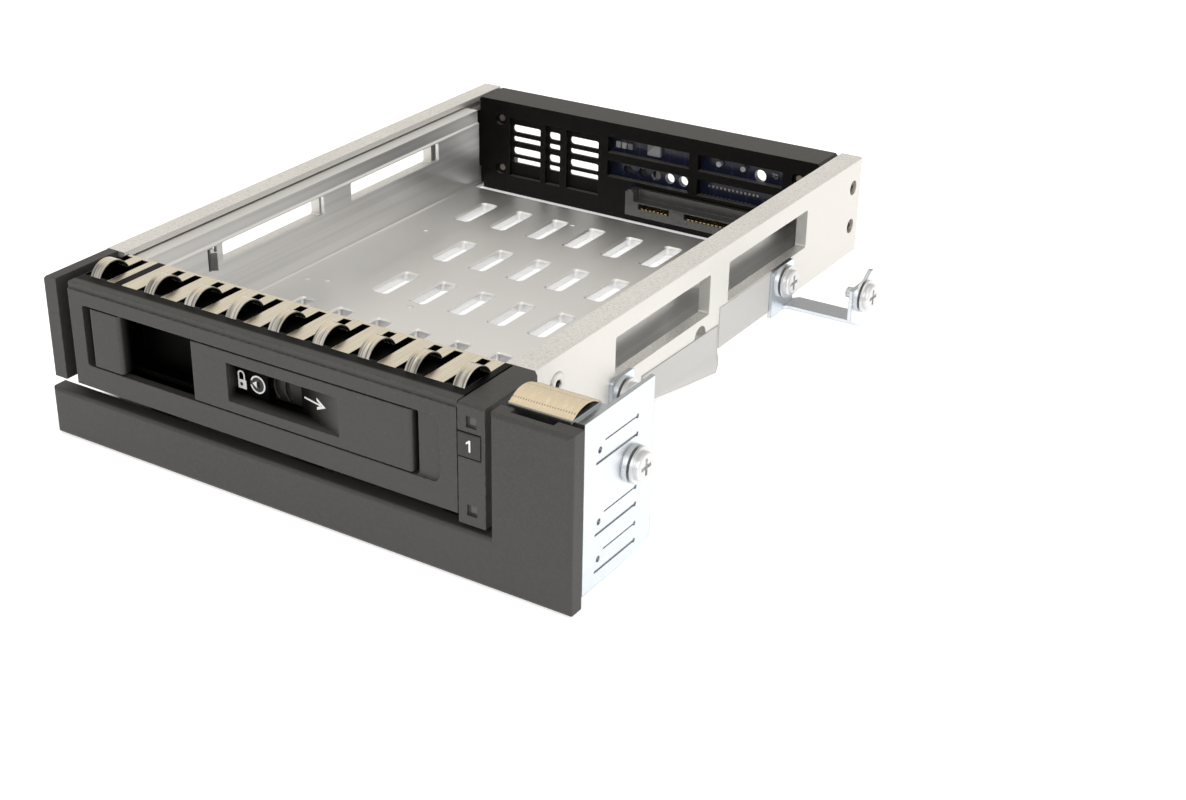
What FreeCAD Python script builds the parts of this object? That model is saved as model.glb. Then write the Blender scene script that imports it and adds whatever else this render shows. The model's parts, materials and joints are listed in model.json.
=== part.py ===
"""Hot swap drive caddy: a cage for one 3.5 inch drive, fitted in a 5.25 inch bay.

The cage is two aluminium rails between a moulded front and a moulded backplane frame.
A black faceplate and two zinc brackets fill the rest of the bay's width. The drive
carrier slides forward out of the rails. Its lever swings out about a pin at its right
end, and a sliding latch and a key lock sit in the lever's window.

Bay frame used while modelling: X to the right, Y to the back, Z up, with the origin at
the faceplate's front, bottom, left corner. The whole part is moved at the end, so that
the origin is at the middle of its underside.
"""
import FreeCAD, Part
import math
import os

Vector = FreeCAD.Vector
X_AXIS = Vector(1, 0, 0)
Y_AXIS = Vector(0, 1, 0)
Z_AXIS = Vector(0, 0, 1)
INWARD_LEFT = 1.0
INWARD_RIGHT = -1.0

# ---------------------------------------------------------------- driving dimensions (mm)

# Bay and faceplate
bay_width = 148.5
bay_height = 41.5
faceplate_depth = 4.3
faceplate_wall = 2.0
bar_height = 12.3
block_width = 19.7
faceplate_round = 1.0
lug_width = 9.0
lug_height = 2.4
lug_drop = 1.9
lug_screw_inset = 5.0
lug_rim = 1.0
lug_shares = (0.2, 0.5, 0.78)
rib_count = 4
boss_column_share = 0.55
boss_level_shares = (0.24, 0.76)
clip_slot_length = 10.4
clip_slot_inset = 2.5

# Side holes of a 5.25 inch device, measured from the back of the faceplate
side_hole_first = 52.4
side_hole_pitch = 79.25
side_hole_height = 21.8
side_hole_radius = 1.25

# Rails
rail_inset = 1.2
block_gap = 1.4
rail_height = 27.0
rail_start = 21.2
rail_width = 6.0
rail_web = 3.0
rail_lip = 1.5
rail_edge = 0.4
window_corner = 0.6
groove_height = 1.6
guide_rib = 1.2
window_sill = 11.5
window_height = 10.4
front_window_start = 33.1
front_window_length = 43.7
rear_window_start = 86.1
rear_window_length = 42.6
cable_hole_radius = 2.8
cable_hole_from_front = 72.7
cable_hole_height = 7.0
snap_hole_radius = 1.5
snap_hole_from_front = 9.0
snap_hole_height = 20.2

# Moulded cage front
face_inset = 0.5
cheek_width = 3.9
cheek_foot = 15.4
column_width = 6.8
column_overhang = 1.9
column_foot = 13.6
column_wall = 1.4
cheek_chamfer = 0.8
column_back_chamfer = 1.6
column_top_chamfer = 0.5
column_face_wall = 3.0
cavity_gap = 0.6
crossbar_front = 8.0
crossbar_bottom = 13.0
crossbar_thickness = 1.8
tongue_length = 12.0
tongue_height = 12.0
tongue_thickness = 1.6
tongue_height_above_rail = 9.5
tongue_root = 4.4
tongue_shoulder = 0.6
stud_recess = 0.6
pipe_width = 1.7
pipe_height = 1.7
pipe_recess_width = 2.6
pipe_recess_depth = 0.7
pipe_hole_depth = 5.0
pipe_round = 0.3
lamp_radius = 1.1
pipe_length = 12.4
upper_pipe_drop = 3.9
lower_pipe_rise = 3.5
number_plate_height = 5.5
number_plate_width = 5.6
number_plate_depth = 1.2
number_plate_drop = 9.3
number_plate_proud = 0.2
number_plate_chamfer = 0.15
led_board_thickness = 1.2
led_depth = 1.6

# Clearances and fits
over = 1.0
near = 1.0
tiny = 0.01
join = 0.2
slide_gap = 0.3
fit_gap = 0.1
pin_gap = 0.05
press_gap = 0.02
lever_gap = 0.45

# Carrier front
carrier_gap_left = 3.8
carrier_bottom = 15.5
carrier_height = 26.1
carrier_depth = 20.4
carrier_wall = 2.0
carrier_face_wall = 2.2
carrier_roof = 4.0
carrier_floor_wall = 1.2
tray_screw_setback = 0.6
tray_screw_shares = (0.3, 0.7)
opening_margin_left = 4.2
opening_margin_right = 4.3
opening_bottom_rim = 5.7
opening_top_rim = 4.9
opening_corner = 2.2
opening_left_corner = 0.9
ear_side = 2.0
ear_end = 1.0
bulkhead_depth = 12.5
bulkhead_thickness = 1.5
face_step = 0.4
face_step_height = 1.6
end_panel_width = 5.8
end_panel_recess = 0.6

# Shield strip with its contact fingers, on the carrier's top
strip_thickness = 0.25
strip_front_margin = 5.5
strip_side_margin = 0.6
strip_right_margin = 1.8
strip_spine = 0.9
finger_pitch_share = 0.11176
finger_width = 3.0
finger_slot = 2.3
finger_count = 8
finger_rise = 3.2
finger_reach = 9.7
short_strip_share = 0.0844
strip_split = 2.4
short_finger_inset = 1.8
finger_root_lap = 0.4
strip_pocket_setback = 1.0
strip_pocket_depth = 3.0

# Tray
sheet = 1.0
tray_length = 144.2
tray_wall_overhang = 4.6
tray_bend = 1.6
tray_side_reach = 10.0
tray_window_corner = 0.5
joggle_height = 3.2
joggle_step = 0.5
joggle_ease = 0.2
tray_window_sill = 12.6
tray_window_height = 5.2
tray_window_front_start = 35.7
tray_window_length = 40.5
tray_window_gap = 11.6
floor_slot_pitch = 12.25
floor_slot_width = 4.6
floor_slot_length = 14.8
floor_slot_first = 26.0
slot_corner = 0.9
slot_flange_wall = 0.5
slot_flange_drop = 1.5
slot_bevel = 0.45
outer_row_starts = (51.7, 134.0)
inner_row_starts = (79.9, 106.4)
tab_from_front = 30.2
tab_width = 3.4
tab_height = 6.0
tab_drop = 1.0
tab_margin = 1.0
tab_foot = 0.2
tab_top_gap = 0.4
tab_reach = 1.4

# Lever, latch slide and lock
lever_left_gap = 2.0
lever_thickness = 2.4
lever_block_width = 9.7
lever_block_depth = 7.6
pocket_share = 0.2348
pocket_setback = 3.4
pocket_wall = 1.3
lever_right_gap = 1.4
pivot_from_end = 2.8
pivot_depth = 3.2
pivot_boss_radius = 2.7
pivot_pin_radius = 1.0
pivot_pin_grip = 2.2
pivot_pin_chamfer = 0.2
lever_corner = 0.7
grip_corner = 1.0
web_lap = 5.2
dish_left_share = 0.1142
dish_share = 0.3383
dish_height = 9.5
dish_bottom_rim = 2.4
dish_depth = 3.7
dish_wall = 1.0
dish_ramp_width = 13.2
dish_ramp_step = 0.7
dish_round = 3.3
dish_chute = 1.2
slide_port_left = 8.9
slide_port_width = 9.6
slide_port_margin = 0.9
travel_share = 0.4444
slide_base_thickness = 1.2
slide_grip_rise = 0.7
slide_tail = 3.2
guide_wall = 1.2
guide_lip = 1.2
ridge_count = 2
ridge_pitch = 2.9
ridge_width = 0.6
ridge_bow = 1.3
ridge_margin = 0.4
lock_radius = 2.25
lock_from_dish_left = 5.9
lock_rise = 4.2
lock_length = 4.4
lock_proud = 0.1
lock_cam_share = 0.6
keyhole_tail_share = 0.6
lock_cam_reach = 1.5
keyhole_size = 0.95
keyhole_depth = 0.6
spring_wire = 0.35
spring_radius = 1.2
spring_turns = 5
spring_post_radius = 0.9
spring_post_share = 0.35

# Backplane frame and board
frame_depth = 11.0
frame_wall = 2.0
frame_drop = 0.3
frame_foot = 1.5
frame_left_bevel = 0.6
frame_right_bevel = 1.7
frame_screw_sink = 1.3
frame_screw_head = 0.7
frame_screw_grip = 4.0
frame_screw_from_back = 4.3
frame_screw_low = 8.5
frame_screw_pitch = 11.0
board_screw_inset = 7.4
board_screw_drop = 5.6
board_screw_rise = 7.2
frame_lug_drop = 4.6
frame_lug_height = 17.4
vent_rows = ((22.4, 1.6), (25.0, 2.3), (29.0, 1.6), (31.9, 2.3))
vent_shares = ((0.0988, 0.1879), (0.2119, 0.2493), (0.2778, 0.3669))
vent_round_share = 0.45
vent_pocket_side = 0.5
vent_pocket_below = 4.0
vent_pocket_above = 2.2
vent_pocket_depth = 1.3
window_shares = ((0.3989, 0.6358), (0.6607, 0.8941))
board_window_rows = ((25.0, 29.8), (32.2, 36.9))
board_setback = 2.2
board_thickness = 1.6
board_margin = 2.4
board_hole_radius = 1.5
board_hole_shares = (0.439, 0.4826, 0.5227, 0.5628, 0.602)
board_hole_height = 26.5
board_vent_margin = 1.4
board_vent_reach = 2.6
board_vent_side_drop = 0.8
air_hole_radius = 1.75
air_hole_inset = 8.7
air_hole_rise = 0.7
boss_radius = 2.4
screw_well_radius = 1.8
screw_well_depth = 1.0
chip_count = 3
chip_inset = 0.8
chip_pitch = 2.0
chip_width = 1.5
chip_height = 1.8
chip_depth = 0.9
chip_rise = 0.8
module_inset = 11.4
module_width = 4.2
module_height = 3.7
module_depth = 1.1
module_rise = 0.4
round_part_insets = (5.1, 12.7)
round_part_radius = 0.8
round_part_height = 1.4
round_part_rise = 2.1

# Drive connector
connector_share = 0.4791
connector_width = 42.0
connector_bottom = 16.6
connector_height = 7.0
contact_rise = 2.2
connector_post = 2.6
connector_shelf_gap = 1.2
connector_shelf_share = 0.62
contact_setback = 0.4
connector_reach = 4.6
tray_end_clearance = 2.9
connector_slot_height = 1.8
connector_slot_depth = 4.2
contact_pitch = 1.27
contact_width = 0.7
contact_thickness = 0.3
signal_contacts = 7
power_contacts = 15
signal_start = 5.5
power_start = 20.5
socket_height = 6.2
socket_depth = 7.0
socket_wall = 1.2
data_socket_share = 0.3856
data_socket_width = 14.5
power_socket_share = 0.642
power_socket_width = 25.0
socket_key = 1.2
socket_blade = 1.1
socket_blade_gap = 0.8

# Brackets and their screws
bracket_sheet = 1.0
bracket_inset = 1.3
bracket_end_gap = 1.0
shelf_overhang = 0.4
bracket_leg_rise = 0.3
pad_rim = 0.6
pad_corner = 1.5
side_plate_setback = 2.3
side_plate_length = 27.4
side_plate_margin = 1.2
louvre_levels = (5.0, 13.9, 30.6)
louvre_height = 3.8
louvre_start = 4.6
louvre_length = 16.0
louvre_slit = 0.5
louvre_thin_slit = 0.25
louvre_thin_start = 3.4
louvre_eye_radius = 0.7
louvre_eye_rise = 2.4
louvre_end_radius = 0.5
side_screw_from_front = 19.7
bracket_screw_height = 23.8
bracket_leg_height = 5.0
bracket_leg_end = 66.0
rear_plate_length = 12.0
rear_plate_rise = 4.4
rear_arm_width = 6.6
rear_flange_length = 11.6
rear_arm_shift = 2.4
rear_flange_rise = 3.0
rear_flange_ear = 2.0
rear_flange_cut = 3.0
rear_flange_lift = 1.5
rear_ear_width = 1.2
rear_ear_base = 4.0
plate_corner = 1.5

screw_radius = 1.5
screw_head_radius = 3.3
screw_head_height = 1.3
screw_flange_radius = 4.2
screw_flange_thickness = 0.5
washer_radius = 4.3
washer_thickness = 0.6
split_washer_radius = 3.4
split_washer_thickness = 0.6
split_washer_gap = 0.5
drive_recess_width = 0.9
head_round_share = 0.45
recess_reach_share = 0.6
recess_depth_share = 0.55
small_screw_radius = 1.0
small_head_radius = 1.9
small_head_height = 1.1
screw_end_room = 0.6

# Gasket strip on the faceplate's block
gasket_thickness = 0.3
gasket_width = 15.2
gasket_rise = 2.0
gasket_depth = 9.6
gasket_lip = 0.8
gasket_setback = 0.9
clip_thickness = 0.6
clip_foot_width = 2.0
clip_foot_depth = 1.0
clip_foot_setback = 2.1
clip_foot_reach = 0.8
clip_foot_spacing = 8.0
gasket_lap = 0.35

# Labels
label_thickness = 0.2
wrap_label_start = 82.2
wrap_label_rise = 11.2
flap_label_start = 45.2
flap_label_length = 36.4
flap_label_front_rise = 7.6
flap_label_back_rise = 2.0
flap_label_bend = 32.0
flap_label_drop = 5.6
flap_label_front_drop = 1.2
flap_label_lean = 3.2
flap_label_steps = 5
flap_mid_lean = 0.3
flap_mid_drop = 0.55

# ---------------------------------------------------------------- derived planes

cage_width = bay_width - block_width - block_gap - column_overhang - rail_inset
rail_left = rail_inset
rail_right = rail_inset + cage_width
rail_top = bay_height
rail_bottom = rail_top - rail_height
left_web = rail_left + rail_web
right_web = rail_right - rail_web
left_lip = rail_left + rail_width
right_lip = rail_right - rail_width
groove_top = rail_top - rail_lip
groove_bottom = groove_top - groove_height
side_hole_y = faceplate_depth + side_hole_first
side_hole_columns = (side_hole_y, side_hole_y + side_hole_pitch)

cheek_right = rail_left + cheek_width
column_right = rail_right + column_overhang
column_left = column_right - column_width
block_left = bay_width - block_width
lug_top = bar_height - lug_drop

carrier_left = cheek_right + carrier_gap_left
carrier_right = column_left - slide_gap
carrier_top = carrier_bottom + carrier_height
carrier_face = face_inset
carrier_back = carrier_face + carrier_depth
opening_left = carrier_left + opening_margin_left
opening_right = carrier_right - opening_margin_right
opening_bottom = carrier_bottom + opening_bottom_rim
opening_top = carrier_top - opening_top_rim
end_panel_left = opening_right - end_panel_width
bulkhead_front = carrier_face + bulkhead_depth
bulkhead_back = bulkhead_front + bulkhead_thickness
roof_underside = carrier_top - carrier_roof
finger_pitch = (carrier_right - carrier_left) * finger_pitch_share
short_strip_width = (carrier_right - carrier_left) * short_strip_share

tray_left = carrier_left + carrier_wall + fit_gap
tray_right = carrier_right - carrier_wall - fit_gap
tray_bottom = carrier_bottom + carrier_floor_wall
tray_floor = tray_bottom + sheet
tray_front = bulkhead_back + fit_gap
tray_floor_end = tray_front + tray_length
tray_wall_end = tray_floor_end + tray_wall_overhang
hanger_bottom = groove_bottom + slide_gap
hanger_top = hanger_bottom + sheet
hanger_left = cheek_right + slide_gap
hanger_right = column_left - slide_gap
hanger_start = carrier_back + fit_gap
joggle_level = hanger_bottom - joggle_height

lever_left = opening_left + lever_left_gap
lever_right = end_panel_left - lever_right_gap
lever_bottom = opening_bottom + lever_gap
lever_top = opening_top - lever_gap
lever_back = carrier_face + lever_thickness
pivot_x = lever_right - pivot_from_end
pivot_y = carrier_face + pivot_depth
lever_span = lever_right - lever_left
pocket_width = lever_span * pocket_share
dish_left = lever_span * dish_left_share
dish_width = lever_span * dish_share
lever_block_right = lever_left + lever_block_width
plate_left = lever_block_right + pocket_width
dish_x = plate_left + dish_left
dish_right = dish_x + dish_width
dish_bottom = lever_bottom + dish_bottom_rim
dish_top = dish_bottom + dish_height
dish_floor = carrier_face + dish_depth
dish_back = dish_floor + dish_wall
port_left = dish_x + slide_port_left
port_right = port_left + slide_port_width
port_bottom = dish_bottom + slide_port_margin
port_top = dish_top - slide_port_margin
slide_front = dish_back + slide_gap + slide_grip_rise
slide_back = slide_front + slide_base_thickness
slide_left = port_left + slide_gap
slide_right = port_right + slide_tail
spring_space = dish_right - dish_wall - slide_right
slide_travel = spring_space * travel_share
guide_top = port_top + guide_wall
guide_bottom = port_bottom - guide_wall
guide_back = slide_back + slide_gap + guide_lip
lock_x = dish_x + lock_from_dish_left
lock_z = dish_bottom + lock_rise

connector_front = tray_wall_end + tray_end_clearance
frame_front = connector_front + connector_reach
rail_end = frame_front + frame_depth
frame_back = rail_end
frame_top = rail_top - frame_drop
frame_bottom = rail_bottom - frame_foot
board_front = frame_front + frame_wall + board_setback
board_back = board_front + board_thickness
frame_span = right_lip - left_lip
vent_columns = [(left_lip + frame_span * a, left_lip + frame_span * b) for a, b in vent_shares]
board_window_columns = [(left_lip + frame_span * a, left_lip + frame_span * b) for a, b in window_shares]
board_hole_columns = [left_lip + frame_span * share for share in board_hole_shares]
connector_left = left_lip + frame_span * connector_share

side_plate_outer = bay_width - bracket_inset
side_plate_inner = side_plate_outer - bracket_sheet
side_plate_front = faceplate_depth + side_plate_setback
side_plate_back = side_plate_front + side_plate_length
side_screw_y = side_plate_front + side_screw_from_front
shelf_top = bay_height - slide_gap
shelf_bottom = shelf_top - bracket_sheet


# ---------------------------------------------------------------- small tools

def box(x0, x1, y0, y1, z0, z1):
    """A block between two corners."""
    return Part.makeBox(x1 - x0, y1 - y0, z1 - z0, Vector(x0, y0, z0))


def rod(radius, length, centre, axis):
    """A round bar that starts at centre and runs along axis."""
    return Part.makeCylinder(radius, length, centre, axis)


def outline(points, direction):
    """The solid that a closed flat outline sweeps along direction."""
    wire = Part.makePolygon(points + [points[0]])
    return Part.Face(wire).extrude(direction)


def slab(points, z0, z1):
    """An outline in plan, given as (x, y) pairs, raised from z0 to z1."""
    return outline([Vector(x, y, z0) for x, y in points], Vector(0, 0, z1 - z0))


def section(points, y0, y1):
    """An outline seen from the front, given as (x, z) pairs, run from y0 to y1."""
    return outline([Vector(x, y0, z) for x, z in points], Vector(0, y1 - y0, 0))


def profile(points, x0, x1):
    """An outline seen from the side, given as (y, z) pairs, run from x0 to x1."""
    return outline([Vector(x0, y, z) for y, z in points], Vector(x1 - x0, 0, 0))


def edges_along(shape, axis, keep=lambda point: True):
    """The straight edges that run along axis and whose middle passes the test."""
    chosen = []
    for edge in shape.Edges:
        if not isinstance(edge.Curve, Part.Line) and not isinstance(edge.Curve, Part.LineSegment):
            continue
        along = edge.Vertexes[-1].Point - edge.Vertexes[0].Point
        middle = (edge.Vertexes[-1].Point + edge.Vertexes[0].Point) * 0.5
        if abs(along.normalize().dot(axis)) > 1.0 - tiny and keep(middle):
            chosen.append(edge)
    return chosen


def rounded_box(x0, x1, y0, y1, z0, z1, radius, axis):
    """A block whose four edges along axis are rounded."""
    block = box(x0, x1, y0, y1, z0, z1)
    return block.makeFillet(radius, edges_along(block, axis))


def joined(shapes):
    """One solid made of all the shapes, with the seams between them taken away."""
    return shapes[0].fuse(shapes[1:]).removeSplitter()


def group(shapes):
    """Several separate solids kept in one node."""
    return Part.makeCompound(shapes)


def arch_wire(x, front, reach, rise, level, thickness):
    """The side view of a thin strip that bows up over reach by rise, as a closed wire."""
    half = reach / 2.0
    radius = (half * half + rise * rise) / (2.0 * rise)
    centre_z = level + rise - radius
    middle = front + half

    def arc(shell_radius):
        ends = []
        for side in (-1.0, 1.0):
            drop = level - centre_z
            ends.append(Vector(x, middle + side * math.sqrt(shell_radius ** 2 - drop ** 2), level))
        crown = Vector(x, middle, centre_z + shell_radius)
        return ends[0], crown, ends[1]

    outer = arc(radius)
    inner = arc(radius - thickness)
    edges = [
        Part.Arc(outer[0], outer[1], outer[2]).toShape(),
        Part.LineSegment(outer[2], inner[2]).toShape(),
        Part.Arc(inner[2], inner[1], inner[0]).toShape(),
        Part.LineSegment(inner[0], outer[0]).toShape(),
    ]
    return Part.Wire(edges)


def arch(x, width, front, reach, rise, level, thickness):
    """A bowed strip of the given width, standing on level."""
    wire = arch_wire(x, front, reach, rise, level, thickness)
    return Part.Face(wire).extrude(Vector(width, 0, 0))


def pan_screw(start, axis, length, radius, head_radius, head_height):
    """A pan head screw: the shank runs along axis from start, the head stands behind it."""
    shank = rod(radius, length, start, axis)
    head = rod(head_radius, head_height, start, axis * -1.0)
    crown = [edge for edge in head.Edges if isinstance(edge.Curve, Part.Circle)]
    crown = [edge for edge in crown if (edge.Curve.Center - start).Length > head_height / 2.0]
    head = head.makeFillet(head_height * head_round_share, crown)
    across = Vector(abs(axis.z) + abs(axis.y), abs(axis.x), 0)
    up = axis.cross(across)
    recess = None
    for direction in (across, up):
        sides = direction.cross(axis)
        corner = start - axis * head_height
        corner = corner - direction * (head_radius * recess_reach_share) - sides * (drive_recess_width / 2.0)
        arm_size = direction * (head_radius * recess_reach_share * 2.0)
        width = sides * drive_recess_width
        face = Part.Face(Part.makePolygon([
            corner, corner + arm_size, corner + arm_size + width, corner + width, corner]))
        arm = face.extrude(axis * (head_height * recess_depth_share))
        recess = arm if recess is None else recess.fuse(arm)
    return shank.fuse(head.cut(recess)).removeSplitter()


def ring(outer, inner, thickness, start, axis):
    """A flat washer whose first face is at start."""
    return rod(outer, thickness, start, axis).cut(rod(inner, thickness, start, axis))


# ---------------------------------------------------------------- cage

def rail_section(outer, web, lip):
    """The rail's C section, with a rib that makes a groove for the tray's hanger."""
    edge = outer + (edge_sign(outer, lip)) * rail_edge
    return [
        (edge, rail_top), (lip, rail_top), (lip, groove_top), (web, groove_top),
        (web, groove_bottom), (lip, groove_bottom), (lip, groove_bottom - guide_rib),
        (web, groove_bottom - guide_rib), (web, rail_bottom + rail_lip),
        (lip, rail_bottom + rail_lip), (lip, rail_bottom), (edge, rail_bottom),
        (outer, rail_bottom + rail_edge), (outer, rail_top - rail_edge),
    ]


def edge_sign(outer, lip):
    """Plus one where the rail's inside lies to the right of its outer face."""
    return INWARD_LEFT if lip > outer else INWARD_RIGHT


def rail(outer, web, lip):
    """One extruded aluminium rail with its windows, screw holes and snap hole."""
    body = section(rail_section(outer, web, lip), rail_start, rail_end)
    low = min(outer, web) - rail_web
    high = max(outer, web) + rail_web
    sill = rail_bottom + window_sill
    cuts = []
    windows = (
        (front_window_start, front_window_length),
        (rear_window_start, rear_window_length),
    )
    for start, length in windows:
        y0 = rail_start + start
        cuts.append(rounded_box(low, high, y0, y0 + length, sill, sill + window_height,
                                window_corner, X_AXIS))
    holes = [(side_hole_radius, y, side_hole_height) for y in side_hole_columns]
    holes.append((cable_hole_radius, rail_start + cable_hole_from_front,
                  rail_bottom + cable_hole_height))
    holes.append((snap_hole_radius, rail_start + snap_hole_from_front,
                  rail_bottom + snap_hole_height))
    for radius, y, z in holes:
        cuts.append(rod(radius, high - low, Vector(low, y, z), X_AXIS))
    inward = edge_sign(outer, lip)
    for z in frame_screw_levels():
        cuts.append(rod(small_screw_radius + pin_gap, high - low, Vector(low, frame_screw_y(), z), X_AXIS))
        cuts.append(rod(small_head_radius + fit_gap, frame_screw_sink + over,
                        Vector(outer - inward * over, frame_screw_y(), z), X_AXIS * inward))
    return body.cut(cuts)


def frame_screw_y():
    """Where the screws that hold the backplane frame pass through the rails."""
    return frame_back - frame_screw_from_back


def frame_screw_levels():
    """The heights of those screws."""
    low = rail_bottom + frame_screw_low
    return (low, low + frame_screw_pitch)


def tongue(web, inward, wall_outer):
    """A tongue that enters a rail's channel, with the stud that snaps into the rail."""
    x0 = web + inward * fit_gap
    x1 = x0 + inward * tongue_thickness
    z0 = rail_bottom + tongue_height_above_rail
    z1 = z0 + tongue_height + tongue_shoulder
    blade = box(min(x0, x1), max(x0, x1), rail_start - tongue_root, rail_start + tongue_length, z0, z1)
    stud_length = rail_web - stud_recess + fit_gap
    stud = rod(snap_hole_radius - fit_gap, stud_length, Vector(x0, rail_start + snap_hole_from_front,
               rail_bottom + snap_hole_height), X_AXIS * -inward)
    bridge = box(min(wall_outer, x1), max(wall_outer, x1), rail_start - tongue_root, rail_start, z0, z1)
    return [blade, stud, bridge]


def pipe_places():
    """The light pipes' bottom corners, (x, z), upper one first."""
    x0 = (column_left + column_right) / 2.0 - pipe_width / 2.0
    upper = rail_top - upper_pipe_drop - pipe_height / 2.0
    lower = column_foot + lower_pipe_rise - pipe_height / 2.0
    return ((x0, upper), (x0, lower))


def pipe_front():
    """Where the light pipes' ends stand, a little behind the column's face."""
    return face_inset + pipe_recess_depth


def pipe_back():
    """Where the light pipes end, in front of the lamps."""
    return pipe_front() + pipe_length


def cage_front():
    """The cheek, the lamp column and the crossbar, moulded as one piece."""
    cheek = box(rail_left, cheek_right, face_inset, rail_start, cheek_foot, rail_top)
    cheek = cheek.makeChamfer(cheek_chamfer, edges_along(
        cheek, Y_AXIS, lambda p: p.z > rail_top - near and p.x < cheek_right - near))
    column = box(column_left, column_right, face_inset, rail_start, column_foot, rail_top)
    column = column.makeChamfer(column_back_chamfer, edges_along(
        column, Z_AXIS, lambda p: p.x > column_right - near and p.y > rail_start - near))
    column = column.makeChamfer(column_top_chamfer, edges_along(
        column, X_AXIS, lambda p: p.z > rail_top - near and p.y < face_inset + near))
    foot = crossbar_bottom + crossbar_thickness
    crossbar = box(rail_left, column_right, crossbar_front, rail_start, crossbar_bottom, foot)
    cheek_foot_block = box(rail_left, cheek_right, crossbar_front, rail_start, crossbar_bottom, cheek_foot)
    pieces = [cheek, column, crossbar, cheek_foot_block]
    for x in bezel_lug_columns():
        pieces.append(box(x - lug_width / 2.0, x + lug_width / 2.0, crossbar_front, lug_back(),
                          lug_top, crossbar_bottom + crossbar_thickness / 2.0))
    pieces += tongue(left_web, INWARD_LEFT, rail_left)
    pieces += tongue(right_web, INWARD_RIGHT, column_right - column_wall)
    body = joined(pieces)
    cavity = box(column_left + column_wall, column_right - column_wall, face_inset + column_face_wall,
                 rail_start, column_foot + column_wall, rail_bottom + tongue_height_above_rail - cavity_gap)
    upper_cavity = box(column_left + column_wall, column_right - column_wall,
                       face_inset + column_face_wall, rail_start - tongue_root,
                       column_foot + column_wall, rail_top - column_wall)
    cuts = [cavity, upper_cavity]
    for x0, z0 in pipe_places():
        cuts.append(box(x0 - pin_gap, x0 + pipe_width + pin_gap, face_inset - over,
                        face_inset + pipe_hole_depth, z0 - pin_gap, z0 + pipe_height + pin_gap))
        rim = (pipe_recess_width - pipe_width) / 2.0
        cuts.append(box(x0 - rim, x0 + pipe_width + rim, face_inset - over,
                        face_inset + pipe_recess_depth, z0 - rim, z0 + pipe_height + rim))
    x0, z0 = number_plate_corner()
    cuts.append(box(column_left - over, x0 + number_plate_width + fit_gap, face_inset - over,
                    face_inset + number_plate_depth, z0 - slide_gap, z0 + number_plate_height + slide_gap))
    for x in bezel_lug_columns():
        cuts.append(rod(small_screw_radius + pin_gap, foot - lug_top + 2 * over,
                        Vector(x, lug_screw_y(), lug_top - over), Z_AXIS))
    return body.cut(cuts)


def number_plate_corner():
    """The number plate's bottom left corner, (x, z)."""
    return (column_left + fit_gap, rail_top - number_plate_drop - number_plate_height / 2.0)


def number_plate():
    """The small plate that carries the bay's number."""
    x0, z0 = number_plate_corner()
    plate = box(x0, x0 + number_plate_width, face_inset - number_plate_proud,
                face_inset + number_plate_depth, z0, z0 + number_plate_height)
    return plate.makeChamfer(number_plate_chamfer, edges_along(plate, X_AXIS, lambda p: p.y < face_inset))


def light_pipe(place):
    """A clear bar that carries a lamp's light to the column's face."""
    x0, z0 = place
    bar = box(x0, x0 + pipe_width, pipe_front(), pipe_back(), z0, z0 + pipe_height)
    return bar.makeFillet(pipe_round, edges_along(bar, Y_AXIS))


def lamp_board():
    """The small board in the column, with a lamp behind each light pipe."""
    y0 = pipe_back() + led_depth + fit_gap
    x0 = column_left + column_wall + fit_gap
    x1 = column_right - column_wall - fit_gap
    board = box(x0, x1, y0, y0 + led_board_thickness, column_foot + column_wall,
                rail_top - column_wall)
    lamps = []
    for px, pz in pipe_places():
        centre = Vector(px + pipe_width / 2.0, y0 - led_depth, pz + pipe_height / 2.0)
        lamps.append(rod(lamp_radius, led_depth, centre, Y_AXIS))
    return joined([board] + lamps)


# ---------------------------------------------------------------- faceplate

def bezel_lug_columns():
    """The lugs under the crossbar that carry the faceplate, spread over its width."""
    return [bay_width * share for share in lug_shares]


def lug_screw_y():
    """Where the lug screws stand."""
    return crossbar_front + lug_screw_inset


def lug_back():
    """The back end of the lugs and of the crossbar's feet above them."""
    return lug_screw_y() + small_head_radius + lug_rim


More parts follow.
